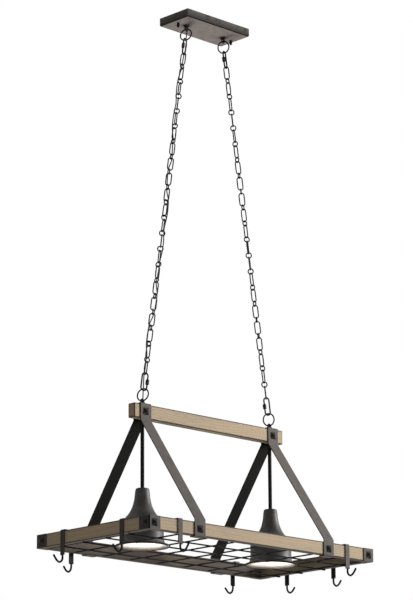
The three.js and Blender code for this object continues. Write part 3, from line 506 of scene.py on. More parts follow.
class Skin:
    """Surfaces gathered into one mesh. Each is a grid of points: rows along and columns round."""

    def __init__(self):
        self.points, self.faces, self.maps, self.wear, self.finish = [], [], [], [], []
        self.count = 0

    def add(self, grid, wear=None, along=None, around=None, closed=False, finish=0, cap=None):
        """Adds a surface whose columns go round. Its first and last rows are closed by flat faces,
        unless its rows go round too. Faces are turned to point outwards: the sum of the
        tetrahedra from the grid's middle to each face has to be positive."""
        rows, columns = grid.shape[:2]
        i = np.arange(rows if closed else rows - 1)[:, None]
        j = np.arange(columns)[None, :]
        right, below = (j + 1) % columns, (i + 1) % rows
        row, next_row = i * columns, below * columns
        corners = [row + j, row + right, next_row + right, next_row + j]
        quads = np.stack(corners, axis=-1).reshape(-1, 4)
        if along is None:
            along = run_lengths(grid[:, 0])
        if around is None:
            around = run_lengths(np.concatenate([grid[0], grid[0, :1]]))
        along = np.r_[along, along[-1] + along[1] - along[0]]
        u = np.stack([along[i], along[i], along[i + 1], along[i + 1]], axis=-1)
        v = np.stack([around[j], around[j + 1], around[j + 1], around[j]], axis=-1)
        u, v = np.broadcast_arrays(u, v)
        place = np.stack([u, v], axis=-1).reshape(-1, 4, 2)
        flat = grid.reshape(-1, 3)
        local = flat - flat.mean(axis=0)
        a, b, c, d = (local[quads[:, k]] for k in range(4))
        volume = np.sum(np.cross(a, b) * c) + np.sum(np.cross(a, c) * d)
        first = np.arange(columns)
        ends = [] if closed else [first[::-1], first + (rows - 1) * columns]
        for end in ends:
            hub, ring = local[end[0]], local[end]
            volume += np.sum(np.cross(ring[1:-1], ring[2:]) @ hub)
        if volume < 0:
            quads, place = quads[:, ::-1], place[:, ::-1]
            ends = [end[::-1] for end in ends]
        finish = np.broadcast_to(finish, (len(i), columns)).ravel()
        self.points.append(flat)
        self.faces += (quads + self.count).tolist()
        self.maps.append(place.reshape(-1, 2))
        self.finish += finish.tolist()
        for end in ends:
            self.faces.append((end + self.count).tolist())
            self.maps.append(np.stack([along[end // columns], around[end % columns]], axis=-1))
            self.finish.append(int(finish[0] if cap is None else cap))
        self.wear.append(np.broadcast_to(0.0 if wear is None else wear, (rows, columns)).ravel())
        self.count += len(flat)
        return self

    def add_bar(self, line, wide, thick, arris, margin, reference, finish=0, cap=None):
        """Adds a flat bar carried along a line, whose columns of faces start at the corner that is
        across and beside."""
        line = np.asarray(line, float)
        points, wear, along, around = bar(line, wide, thick, arris, margin, reference)
        return self.add(points, wear, along, around, finish=finish, cap=cap)

    def add_rod(self, line, radius, sides=12, reference=(0, 1, 0), finish=0):
        """Adds a round rod with half-round ends."""
        line, radii = round_ended(np.asarray(line, float), radius)
        grid = rod(line, radii, sides, False, reference)
        around = np.linspace(0, 2 * np.pi * radius, sides + 1)
        return self.add(grid, along=run_lengths(line), around=around, finish=finish)

    def build(self, name, body, slot, finishes, replaced=(), sharp=40.0):
        """Makes the piece. It rides on a body, unless body is empty, and stands for the frame nodes
        that it replaces."""
        mesh = bpy.data.meshes.new(name)
        mesh.from_pydata(np.concatenate(self.points).tolist(), [], self.faces)
        run = mesh.uv_layers.new(name="run")
        run.uv.foreach_set("vector", np.concatenate(self.maps).astype(np.float32).ravel())
        wear = mesh.attributes.new("wear", "FLOAT", "POINT")
        wear.data.foreach_set("value", np.concatenate(self.wear).astype(np.float32))
        mesh.polygons.foreach_set("material_index", self.finish)
        for finish in finishes:
            mesh.materials.append(finish)
        mesh.shade_smooth()
        mesh.set_sharp_from_angle(angle=math.radians(sharp))
        mesh.validate()
        piece = bpy.data.objects.new(name, mesh)
        bpy.context.scene.collection.objects.link(piece)
        if body:
            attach(piece, body)
        if replaced:
            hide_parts(*replaced)
        return piece


# ---------------------------------------------------------------- shader sums


class Value:
    """An output socket of a finish. Sums with it add nodes: Math for numbers, Vector Math for
    vectors and Mix for colours."""

    def __init__(self, finish, socket):
        self.finish = finish
        self.socket = socket

    def sum(self, operation, first, second):
        """The node that works out the operation, chosen by what its sockets carry."""
        kinds = {x.socket.type for x in (first, second) if isinstance(x, Value)}
        if "RGBA" in kinds:
            settings = {"data_type": "RGBA", "blend_type": operation, "clamp_result": False}
            return self.finish.node("ShaderNodeMix", settings, {0: 1.0, 6: first, 7: second}, 2)
        kind = "ShaderNodeVectorMath" if "VECTOR" in kinds else "ShaderNodeMath"
        return self.finish.node(kind, {"operation": operation}, {0: first, 1: second})

    def __add__(self, other):
        return self.sum("ADD", self, other)

    def __radd__(self, other):
        return self.sum("ADD", other, self)

    def __sub__(self, other):
        return self.sum("SUBTRACT", self, other)

    def __rsub__(self, other):
        return self.sum("SUBTRACT", other, self)

    def __mul__(self, other):
        return self.sum("MULTIPLY", self, other)

    def __rmul__(self, other):
        return self.sum("MULTIPLY", other, self)

    def __truediv__(self, other):
        return self.sum("DIVIDE", self, other)

    def __pow__(self, other):
        return self.sum("POWER", self, other)


class Finish:
    """A material whose nodes are written as sums."""

    def __init__(self, name):
        self.material = bpy.data.materials.new(name)
        self.material.use_nodes = True
        self.tree = self.material.node_tree
        self.tree.nodes.clear()

    def node(self, kind, settings=None, inputs=None, output=0):
        """Adds a node: its settings first, a ramp's stops among them, then its inputs."""
        node = self.tree.nodes.new(kind)
        for key, value in (settings or {}).items():
            if key == "stops":
                ramp = node.color_ramp
                for place, _ in value[2:]:
                    ramp.elements.new(place)
                for element, (place, shade) in zip(ramp.elements, value):
                    element.position = place
                    element.color = (*shade, 1) if len(shade) == 3 else shade
            else:
                setattr(node, key, value)
        for key, value in (inputs or {}).items():
            socket = node.inputs[key]
            if isinstance(value, Value):
                self.tree.links.new(value.socket, socket)
            elif socket.type == "RGBA":
                plain = isinstance(value, (int, float))
                socket.default_value = (value, value, value, 1) if plain else (*value[:3], 1)
            elif socket.type == "VECTOR" and isinstance(value, (int, float)):
                socket.default_value = (value, value, value)
            else:
                socket.default_value = value
        return Value(self, node.outputs[output])

    def place(self):
        """Where the point is on the piece, in metres."""
        return self.node("ShaderNodeTexCoord", output="Object")

    def run(self):
        """Lengths along and round the piece, in metres."""
        return self.node("ShaderNodeUVMap", {"uv_map": "run"})

    def wear(self):
        """How worn the piece is at a corner, from 0 to 1."""
        return self.node("ShaderNodeAttribute", {"attribute_name": "wear"}, output="Fac")

    def parts(self, vector):
        """The three numbers of a vector."""
        first = self.node("ShaderNodeSeparateXYZ", inputs={0: vector})
        outputs = first.socket.node.outputs
        return [Value(self, outputs[i]) for i in range(3)]

    def vector(self, x, y, z):
        """A vector of three numbers."""
        return self.node("ShaderNodeCombineXYZ", inputs={0: x, 1: y, 2: z})

    def noise(self, vector, stretch, detail=3.0, rough=0.5, bend=0.0):
        """Noise from 0 to 1, with so many waves a metre along each direction."""
        inputs = {"Vector": vector * stretch, "Scale": 1.0, "Detail": detail}
        inputs.update({"Roughness": rough, "Distortion": bend})
        return self.node("ShaderNodeTexNoise", inputs=inputs)

    def sine(self, angle):
        """The sine of an angle in radians."""
        return self.node("ShaderNodeMath", {"operation": "SINE"}, {0: angle})

    def step(self, value, low, high):
        """0 below low, 1 above high and smooth between."""
        settings = {"interpolation_type": "SMOOTHSTEP"}
        return self.node("ShaderNodeMapRange", settings, {0: value, 1: low, 2: high})

    def mix(self, share, first, second):
        """The first colour at share 0 and the second at share 1."""
        return self.node("ShaderNodeMix", {"data_type": "RGBA"}, {0: share, 6: first, 7: second}, 2)

    def bump(self, height, depth):
        """A normal tilted by a height from 0 to 1, which stands for so many metres."""
        inputs = {"Height": height, "Distance": depth, "Strength": 1.0}
        return self.node("ShaderNodeBump", inputs=inputs)

    def finish(self, **sockets):
        """Ends the material in a Principled shader. Socket names are written with underscores."""
        inputs = {key.replace("_", " "): value for key, value in sockets.items()}
        shader = self.node("ShaderNodeBsdfPrincipled", inputs=inputs)
        self.node_out(shader)
        return self.material

    def node_out(self, shader):
        """Links a shader to the material's output."""
        output = self.tree.nodes.new("ShaderNodeOutputMaterial")
        self.tree.links.new(shader.socket, output.inputs["Surface"])


def once(make):
    """Makes a finish the first time that it is asked for, and gives the same one after that."""

    def kept(colours, *words):
        name = "_".join([make.__name__, *words])
        found = bpy.data.materials.get(name)
        return found or make(Finish(name), colours, *words)

    return kept


PITH_BESIDE, PITH_UNDER = 0.31, 1.83  # metres from the frame's middle and the ceiling to the pith
RING_WAVES = 900.0  # radians a metre, which is a growth ring every 7 mm
RING_DRIFT = 0.055  # metres


def oak_surface(oak, colours, grain):
    """Base colour, height and weathered patches of oak whose grain runs along X or Y.

    Growth rings are circles about a line beside and under the boards, r = distance from that line
    + a slow noise, and show as waves of r. Fibres and pores are noise drawn out along the grain.
    """
    x, y, z = oak.parts(oak.place())
    along, across = (x, y) if grain == "x" else (y, x)
    cell = oak.vector(along, across, z)
    drift = oak.noise(cell, (2.2, 9.0, 9.0), 2.0)
    from_pith = ((across + PITH_BESIDE) ** 2.0 + (z + PITH_UNDER) ** 2.0) ** 0.5
    rings = oak.sine((from_pith + drift * RING_DRIFT) * RING_WAVES)
    lines = oak.step(rings, -0.2, 1.0)
    fibres = oak.noise(cell, (7.0, 420.0, 420.0), 4.0, 0.6)
    pores = oak.step(oak.noise(cell, (38.0, 1100.0, 1100.0), 2.0), 0.60, 0.72)
    patches = oak.noise(cell, (5.0, 22.0, 22.0), 3.0, 0.6, 0.4)
    tone = oak.mix(lines * 0.30 + fibres * 0.55, colours.oak_light, colours.oak_mid)
    tone = oak.mix(oak.step(patches, 0.42, 0.68) * 0.55, tone, colours.oak_grey)
    tone = oak.mix(pores * 0.55, tone, colours.oak_dark)
    height = fibres * 0.55 + (1 - pores) * 0.3 + lines * 0.15
    return tone, height, patches


@once
def oak_side(oak, colours, grain):
    """Weathered oak with a dark stain along its corners, and painted shade in the same dark colour
    on whole faces where a board is given it.
    """
    tone, height, patches = oak_surface(oak, colours, grain)
    # The mask holds the real stain along the corners and, on whole faces, painted shade.
    stain = oak.step(oak.wear() + (patches - 0.5) * 0.4, 0.28, 0.66)
    tone = oak.mix(stain * 0.92, tone, colours.oak_edge)
    return oak.finish(
        Base_Color=tone,
        Roughness=0.62 + 0.2 * height,
        Normal=oak.bump(height, 0.0004),
        Specular_IOR_Level=0.3,
    )


@once
def oak_end(oak, colours, grain):
    """End grain: the same rings, seen end on, and a little darker in its patches."""
    tone, height, patches = oak_surface(oak, colours, grain)
    soaked = oak.mix(0.02 + 0.2 * oak.step(patches, 0.3, 0.7), tone, colours.oak_dark)
    return oak.finish(
        Base_Color=soaked,
        Roughness=0.8,
        Normal=oak.bump(height, 0.0005),
        Specular_IOR_Level=0.25,
    )


def iron_surface(iron, colours, tone_and_shade):
    """Base colour, height and clouds of matt lacquer on brushed iron: cloudy patches, fine brush
    marks and rubbed edges. The body colour is the named one, which is painted light on the lit
    copy and painted shade on the shaded copy."""
    place = iron.place()
    clouds = iron.noise(place, (38.0, 38.0, 38.0), 4.0, 0.65, 0.6)
    specks = iron.noise(place, (420.0, 420.0, 420.0), 3.0, 0.6)
    brush = iron.noise(iron.run(), (700.0, 50.0, 1.0), 3.0, 0.6)
    body = getattr(colours, tone_and_shade)
    tone = iron.mix(iron.step(clouds, 0.42, 0.70) * 0.25, body, colours.iron_dark)
    tone = tone * (0.66 + 0.68 * brush) * (0.80 + 0.40 * specks)
    rubbed = iron.wear() * iron.step(clouds, 0.30, 0.60)
    tone = iron.mix(rubbed * 0.45, tone, colours.iron_worn)
    return tone, specks * 0.5 + brush * 0.35 + clouds * 0.15, clouds


def matt_iron(iron, tone, height, clouds):
    """Ends an iron finish as matt lacquer, whose shine varies with its clouds."""
    return iron.finish(
        Base_Color=tone,
        Roughness=0.50 + 0.2 * clouds,
        Normal=iron.bump(height, 0.0003),
        Specular_IOR_Level=0.05,
    )


@once
def forged_iron(iron, colours, tone_and_shade):
    """Matt lacquer on brushed iron, in the named body colour, which is painted light on its lit
    copy and painted shade on its shaded copy.
    """
    tone, height, clouds = iron_surface(iron, colours, tone_and_shade)
    return matt_iron(iron, tone, height, clouds)


@once
def canopy_iron(iron, colours):
    """The canopy's underside: the iron's lighter copy as painted light, darkened within 3 cm of
    each eye bolt as painted shade.
    """
    tone, height, clouds = iron_surface(iron, colours, "iron_bright")
    x, y, _ = iron.parts(iron.place())
    eye = float(node_middle("canopy_eye_right")[0])
    for side in SIDES.values():
        # Painted shade: a soft dark ring round each eye bolt, where its collar shades the sheet.
        distance = ((x - side * eye) ** 2.0 + y**2.0) ** 0.5
        eye_shade = 1 - iron.step(distance + (clouds - 0.5) * 0.012, 0.004, 0.030)
        tone = iron.mix(eye_shade * 0.65, tone, colours.iron_dark)
    return matt_iron(iron, tone, height, clouds)


@once
def black_lacquer(lacquer, colours):
    """Near-black satin lacquer, rubbed a little on its edges and where links meet. On rods, rings
    and chains it is their colour; on the iron's inner faces, edges, bends and the canopy's bevel it
    is painted shade.
    """
    place = lacquer.place()
    clouds = lacquer.noise(place, (90.0, 90.0, 90.0), 3.0)
    specks = lacquer.noise(place, (700.0, 700.0, 700.0), 2.0)
    rubbed = lacquer.wear() * lacquer.step(specks, 0.35, 0.65)
    tone = lacquer.mix(lacquer.step(clouds, 0.4, 0.7) * 0.3, colours.black, colours.iron_dark)
    tone = lacquer.mix(rubbed * 0.5, tone, colours.black_worn)
    return lacquer.finish(
        Base_Color=tone,
        Roughness=0.46 + 0.2 * clouds,
        Normal=lacquer.bump(specks, 0.00012),
        Specular_IOR_Level=0.06,
    )


@once
def plated_steel(steel, colours):
    """Zinc plating with faint spangles."""
    place = steel.place()
    spangle = steel.node(
        "ShaderNodeTexVoronoi", inputs={"Vector": place, "Scale": 260.0}, output="Distance"
    )
    dull = steel.noise(place, (60.0, 60.0, 60.0), 3.0)
    tone = steel.mix(dull * 0.4, colours.steel, colours.iron_dark)
    return steel.finish(
        Base_Color=tone,
        Metallic=0.9,
        Roughness=0.3 + 0.2 * spangle,
        Normal=steel.bump(dull, 0.0001),
    )


@once
def gunmetal(metal, colours):
    """Satin gunmetal outside on the shades, with spun rings and soft clouds."""
    place = metal.place()
    clouds = metal.noise(place, (26.0, 26.0, 26.0), 4.0, 0.6, 0.5)
    specks = metal.noise(place, (520.0, 520.0, 520.0), 2.0)
    spun = metal.noise(metal.run(), (1100.0, 4.0, 1.0), 2.0)
    tone = metal.mix(metal.step(clouds, 0.36, 0.66), colours.shade, colours.shade_dark)
    tone = tone * (0.9 + 0.2 * spun)
    return metal.finish(
        Base_Color=tone,
        Roughness=0.42 + 0.16 * clouds,
        Normal=metal.bump(specks * 0.4 + spun * 0.6, 0.00008),
        Specular_IOR_Level=0.24,
    )


@once
def cream_enamel(enamel, colours):
    """Cream enamel inside the shades, darkened brown in the last 13 mm over the rim as painted
    shade."""
    place = enamel.place()
    dust = enamel.noise(place, (70.0, 70.0, 70.0), 3.0, 0.6)
    over_rim = enamel.parts(place)[2] - float(node_box("lamp_drum_left")[0][2])
    clear_of_shade = enamel.step(over_rim + (dust - 0.5) * 0.004, 0.000, 0.013)
    tone = enamel.mix(clear_of_shade, colours.enamel_rim, colours.enamel)
    tone = enamel.mix(enamel.step(dust, 0.5, 0.8) * 0.2, tone, colours.oak_grey)
    return enamel.finish(
        Base_Color=tone,
        Roughness=0.34 + 0.2 * dust,
        Normal=enamel.bump(dust, 0.0001),
        Specular_IOR_Level=0.2,
    )


@once
def glazed_holder(glaze, colours):
    """Glazed porcelain of the lamp holders."""
    cloud = glaze.noise(glaze.place(), (80.0, 80.0, 80.0), 3.0)
    tone = glaze.mix(cloud * 0.2, colours.socket, colours.oak_grey)
    return glaze.finish(Base_Color=tone, Roughness=0.18 + 0.12 * cloud, Coat_Weight=0.4)


@once
def lit_glass(glass, colours):
    """Frosted glass of a bulb that is lit."""
    frost = glass.noise(glass.place(), (500.0, 500.0, 500.0), 2.0)
    return glass.finish(
        Base_Color=colours.glass,
        Roughness=0.35 + 0.2 * frost,
        Emission_Color=glass.mix(frost * 0.15, colours.glass, colours.enamel),
        Emission_Strength=9.0,
    )


@once
def brass_thread(brass, colours):
    """The bulbs' screw bases."""
    dull = brass.noise(brass.place(), (300.0, 300.0, 300.0), 2.0)
    tone = brass.mix(dull * 0.5, colours.steel, colours.oak_mid)
    return brass.finish(Base_Color=tone, Metallic=0.9, Roughness=0.25 + 0.3 * dull)


BRAID_ALONG, BRAID_AROUND = 2600.0, 3300.0  # radians a metre, along the wire and round it


@once
def braided_sheath(sheath, colours):
    """The lamp wire's braided sheath: two sets of waves that cross at a slant."""
    along, around, _ = sheath.parts(sheath.run())
    left = sheath.sine(along * BRAID_ALONG + around * BRAID_AROUND)
    right = sheath.sine(along * BRAID_ALONG - around * BRAID_AROUND)
    weave = sheath.step(left * right, -0.6, 0.8)
    fluff = sheath.noise(sheath.place(), (900.0, 900.0, 900.0), 2.0)
    tone = sheath.mix(weave * 0.35 + fluff * 0.2, colours.cord, colours.iron_dark)
    return sheath.finish(
        Base_Color=tone,
        Roughness=0.75 + 0.15 * fluff,
        Normal=sheath.bump(weave, 0.0002),
    )


# ---------------------------------------------------------------- places


LONG_LINKS = 21


class ChainPlace:
    """A chain's own line, from the canopy eye's wire down to the beam eye's wire.

    The top ring's middle lies at ring down this line, the quick link's middle at quick below that,
    and the first long link's middle at first. The lower end is the same, upwards, and pitch is the
    distance from one long link to the next that this leaves.
    """

    def __init__(self, side, sizes):
        upper, lower = f"canopy_eye_{side}", f"beam_eye_{side}"
        top = np.array([node_middle(upper)[0], 0, node_box(upper)[0][2] + sizes.eye_wire / 2])
        bottom = np.array([node_middle(lower)[0], 0, node_box(lower)[1][2] - sizes.eye_wire / 2])
        self.top = top
        self.length = float(np.linalg.norm(bottom - top))
        down = (bottom - top) / self.length
        self.spin = np.stack([np.cross([0.0, 1.0, 0.0], -down), [0.0, 1.0, 0.0], -down], axis=1)
        ring_inside = sizes.ring_radius - sizes.ring_wire / 2
        self.ring = sizes.ring_radius - sizes.eye_wire / 2 - sizes.ring_wire / 2 - GAP
        self.quick = ring_inside - GAP - sizes.quick_wire + sizes.quick_length / 2
        start = ring_inside - 2 * GAP - 2 * sizes.quick_wire + sizes.quick_length - sizes.link_wire
        self.first = self.ring + start + sizes.link_length / 2
        free = self.length - 2 * (self.ring + start)
        self.pitch = (free - sizes.link_length) / (LONG_LINKS - 1)

    def at(self, points, drop, spin=0.0):
        """Points of an upright piece, turned about the chain and moved down it."""
        local = moved(points, about_z(spin), (0, 0, -drop))
        return moved(local, self.spin, self.top)


# How each chain twists, in degrees seen from above: its first link, the step from one long link to
# the next, its lower quick link, and the side that each quick link's sleeve is on.
TWISTS = {
    "left": {"start": 109.8, "step": -20.0, "low_quick": 159.8, "sleeves": (-1, -1)},
    "right": {"start": -70.2, "step": -21.2, "low_quick": 165.8, "sleeves": (-1, 1)},
}

# Lamp wire: how far down or up from a ring's middle, how far from the chain's line, both in
# millimetres, and in which direction in degrees. These points are given one by one.
WIRE_TOP = [
    (0, 6.9, 247),
    (12, 7, 247),
    (22, 7.6, 252),
    (42, 9.6, 269),
    (58, 9.3, 258),
    (74, 8.8, 240),
]
WIRE_BOTTOM = [(64, 7.8, 200), (44, 8, 208), (22, 8.2, 222), (8, 8.8, 226), (-4, 9.2, 232)]
# Its ends beside the eyes' collars: how far from the eye's middle line, in millimetres, and in
# which direction in degrees.
WIRE_COLLAR_TOP = (6.8, 247)
WIRE_COLLAR_BOTTOM = (8.2, 240)
# Beside the links: how far it sways along a link's plane and how steeply, and how far it lies out
# of that plane at least and how much further at most, in millimetres.
WIRE_SWAY, WIRE_STEEP = 5.1, 1.9
WIRE_OFF, WIRE_OFF_MORE = 5.4, 2.2
WIRE_END_GAP = 0.0019  # between a collar and the wire's end
WIRE_RISE = 0.008  # straight run at each end
MILLIMETRE = 0.001


# ---------------------------------------------------------------- pieces


def add_eye(skin, sizes, seat, up, reach, spin, shank):
    """An eye bolt: a ring on a turned collar with a weld round its foot, and a threaded shank
    behind. Up is 1 where the eye stands up and -1 where it hangs, and reach is how far from its
    seat the ring's furthest point lies, at the middle of the wire."""
    grid = rod(circle_line(sizes.eye_radius, 48), sizes.eye_wire / 2, 16, True)
    centre = seat + UP * up * (reach - sizes.eye_radius)
    skin.add(moved(grid, about_z(spin), centre), closed=True)
    radius, tall = sizes.collar / 2, sizes.collar_height
    edge, weld = 0.0006, 0.0016
    neck = sizes.eye_wire / 2 + weld
    outline = [
        (radius - edge, 0),
        (radius, edge),
        (radius, tall - 2 * edge),
        (radius - edge, tall - edge / 2),
        (radius - 3 * edge, tall),
        (neck + 0.001, tall + 0.0004),
        (neck, tall + weld),
        (neck - 0.0012, tall + 0.003),
    ]
    outline = [(r, z * up) for r, z in outline]
    skin.add(turned(outline, 40, seat), wear=np.array([0, 1, 1, 0.5, 0, 0, 0, 0])[:, None])
    lap, ridge_step, ridge_depth = 0.0002, 0.0006, 0.00035
    heights = np.linspace(lap, -shank, max(8, int(shank / ridge_step))) * up
    skin.add(turned(thread_outline(sizes.shank / 2, ridge_depth, heights), 24, seat))


class POTRACK_OT_canopy(bpy.types.Operator):
    """Make the canopy: folded sheet pan, drop-shaped cap nuts and eye bolts with their lock nuts"""

    bl_idname = "potrack.canopy"
    bl_label = "Canopy"

    def execute(self, context):
        iron, wires = context.scene.rack_iron, context.scene.rack_wires
        colours = context.scene.rack_colours
        self.make_pan(iron, colours)
        for side in SIDES:
            self.make_hanger(side, iron, wires, colours)
            self.make_cap_nut(side, colours)
        bar_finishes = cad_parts["mounting_bar"].data.materials
        bar_finishes.clear()
        bar_finishes.append(plated_steel(colours))
        return {"FINISHED"}

    def make_pan(self, iron, colours):
        """Rectangles with rounded corners, stacked from the underside out over its bevel, up the
        outside, over the rim and down the inside to the floor. Each is drawn in towards the middle
        by its inset, in proportion to its sides."""
        low, high = node_box("canopy_pan")
        sheet, bevel, edge = iron.canopy_sheet, iron.canopy_bevel, 0.0004
        flat, over_bevel = 0.004, 0.002
        tall = high[2] - low[2]
        rise = np.linspace(0, 1, 5)
        fall = 1 - rise[1:]
        outer_inset = np.r_[bevel + flat, bevel + edge, bevel * (1 - rise), 0, 0, edge]
        outer_height = np.r_[0, 0, bevel * rise, bevel + over_bevel, tall - edge, tall]
        inner_inset = sheet + np.r_[-edge, 0, 0, bevel * rise[1:], bevel + flat]
        inner_height = np.r_[tall, tall - edge, sheet + bevel, sheet + bevel * fall, sheet]
        inset = np.r_[outer_inset, inner_inset]
        loop, on_corner = rectangle_loop(
            high[0] - low[0], high[1] - low[1], 0 * inset, iron.canopy_corner, 0.003
        )
        half = np.abs(loop[0]).max(axis=0)
        drawn = loop * (1 - inset[:, None, None] / half)
        height = np.r_[outer_height, inner_height]
        level = np.broadcast_to(height[:, None, None] + low[2], (*drawn.shape[:2], 1))
        grid = np.concatenate([drawn, level], axis=2)
        rim = [8, 9]  # rows of points at the rim's outer edge
        worn = np.isin(np.arange(len(inset)), rim).astype(float)
        wear = np.maximum(worn[:, None], 0.7 * on_corner[None])
        # Painted shade: the bevel is black as a dark line along the lower edge, and the sides, rim
        # and inside take the shaded copy of the iron; the underside takes the lit copy as painted
        # light.
        under, bevel_shade = [0] * 2, [2] * 4  # rows of faces, and shaded iron on the rest
        finish = np.r_[under, bevel_shade, [1] * (len(inset) - 7)][:, None]
        finishes = [
            canopy_iron(colours),
            forged_iron(colours, "iron_smoky"),
            black_lacquer(colours),
        ]
        Skin().add(grid, wear, finish=finish).build(
            "canopy_shell", "canopy", "iron", finishes, ["canopy_pan"], 25
        )

    def make_hanger(self, side, iron, wires, colours):
        """An eye bolt that hangs under the pan, and its chamfered lock nut on the pan's floor."""
        floor = node_box("canopy_pan")[0][2]
        low, high = node_box(f"canopy_eye_{side}")
        seat = np.array([(low[0] + high[0]) / 2, 0, floor])
        reach = floor - low[2] - wires.eye_wire / 2
        skin = Skin()
        add_eye(skin, wires, seat, -1, reach, wires.canopy_eye_turn, high[2] - floor)
        face, bore, chamfer = wires.nut_flats / 2, wires.shank / 2 - GAP, 0.0006
        centre = seat + UP * iron.canopy_sheet
        lock_nut = nut(wires.nut_flats, face, bore, 0, wires.nut_height, chamfer, centre)
        skin.add(lock_nut, closed=True, finish=1)
        finishes = [black_lacquer(colours), plated_steel(colours)]
        skin.build(f"canopy_hanger_{side}", "canopy", "iron", finishes, [f"canopy_eye_{side}"])

    def make_cap_nut(self, side, colours):
        """A drop-shaped nut: a smooth curve through shares of its radius and its height, turned."""
        low, high = node_box(f"cap_nut_{side}")
        radius, tall, tip = (high[0] - low[0]) / 2, high[2] - low[2], 0.0005
        foot = [(0.78, 0), (0.8, 0.1), (0.7, 0.17), (0.86, 0.24)]
        drop = [(1, 0.38), (1, 0.55), (0.8, 0.78), (0.45, 0.93)]
        shape = [(r * radius, -z * tall) for r, z in foot + drop]
        outline = curve_through([*shape, (tip, -tall)], 5)
        cap = turned(outline, 32, [(low[0] + high[0]) / 2, 0, high[2]])
        Skin().add(cap).build(
            f"canopy_finial_{side}", "canopy", "iron", [black_lacquer(colours)], [f"cap_nut_{side}"]
        )


class POTRACK_OT_chains(bpy.types.Operator):
    """Make both chains: end rings, quick links with their sleeves, long links and small rings"""

    bl_idname = "potrack.chains"
    bl_label = "Chains"

    def execute(self, context):
        wires, colours = context.scene.rack_wires, context.scene.rack_colours
        lacquer = [black_lacquer(colours)]
        for side in SIDES:
            place, twist = ChainPlace(side, wires), TWISTS[side]
            body = f"chain_{side}"
            low_ring = place.length - place.ring
            rings = {
                "top": (place.ring, wires.canopy_eye_turn),
                "bottom": (low_ring, wires.beam_eye_turn),
            }
            for end, (drop, spin) in rings.items():
                grid = rod(circle_line(wires.ring_radius, 56), wires.ring_wire / 2, 14, True)
                grid = place.at(grid, drop, spin + math.pi / 2)
                Skin().add(grid, closed=True).build(
                    f"chain_ring_{end}_{side}", body, "chain", lacquer, [f"ring_{end}_{side}"]
                )
            low_quick = math.radians(twist["low_quick"])
            quicks = {
                "top": (place.ring + place.quick, wires.canopy_eye_turn, twist["sleeves"][0]),
                "bottom": (low_ring - place.quick, low_quick, twist["sleeves"][1]),
            }
            for end, (drop, spin, sleeve) in quicks.items():
                self.make_quick_link(place, side, end, drop, spin, sleeve, wires, lacquer)
            self.make_links(place, side, twist, wires, lacquer)
        return {"FINISHED"}

    def make_quick_link(self, place, side, end, drop, spin, sleeve, wires, lacquer):
        """An oval of thick wire, threaded on one side, and the hexagonal sleeve that closes it. The
        sleeve is on the side that has its sign: 1 or -1."""
        wire = wires.quick_wire
        line = oval_line(wires.quick_length - wire, wires.quick_width - wire, 15, (-0.5, 0, 0.5))
        skin = Skin()
        skin.add(place.at(rod(line, wire / 2, 16, True), drop, spin), closed=True)
        beside = sleeve * (wires.quick_width - wire) / 2
        threaded, ridge_step, ridge_depth, proud = 0.014, 0.0005, 0.0003, 0.00022
        heights = np.arange(-threaded, threaded, ridge_step)
        thread = thread_outline(wire / 2 + proud, ridge_depth, heights)
        skin.add(place.at(turned(thread, 20, [beside, 0, 0]), drop, spin))
        name = f"{end}_{side}"
        skin.build(f"chain_quick_{name}", f"chain_{side}", "chain", lacquer, [f"quick_link_{name}"])
        half, face = wires.sleeve_length / 2, wires.sleeve_flats / 2 - 0.0004
        bore, chamfer = wire / 2 + 0.0006, 0.0009
        tube = nut(wires.sleeve_flats, face, bore, -half, half, chamfer, [beside, 0, 0])
        wear = np.array([0, 1, 1, 1, 1, 0])[:, None]
        Skin().add(place.at(tube, drop, spin), wear, closed=True).build(
            f"chain_sleeve_{name}", f"sleeve_{name}", "chain", lacquer, [f"quick_sleeve_{name}"], 25
        )

    def make_links(self, place, side, twist, wires, lacquer):
        """Long links with a small ring between each two, turned a step further each time. A weld
        swells one side of each: r = wire / 2 (1 + swell exp(-(z / weld)^2))."""
        wire = wires.link_wire
        start, step = math.radians(twist["start"]), math.radians(twist["step"])
        straights = (-0.3, -0.14, 0, 0.14, 0.3)
        swell, weld = 0.16, 0.0018
        line = oval_line(wires.link_length - wire, wires.link_width - wire, 12, straights)
        welded = np.exp(-((line[:, 2] / weld) ** 2)) * (line[:, 0] > 0)
        link = rod(line, wire / 2 * (1 + swell * welded), 10, True)
        ring = rod(circle_line((wires.small_ring - wire) / 2, 24), wire / 2, 10, True)
        link_wear = np.clip(np.abs(line[:, 2]) / line[:, 2].max() * 6 - 5, 0, 1)[:, None]
        skin = Skin()
        for i in range(LONG_LINKS):
            spin = start + i * step
            drop = place.first + i * place.pitch
            skin.add(place.at(link, drop, spin), link_wear, closed=True)
            if i < LONG_LINKS - 1:
                drop = place.first + (i + 0.5) * place.pitch
                across = spin + step / 2 + math.pi / 2
                skin.add(place.at(ring, drop, across), closed=True)
        skin.build(f"chain_links_{side}", f"chain_{side}", "chain", lacquer, [f"chain_{side}"])


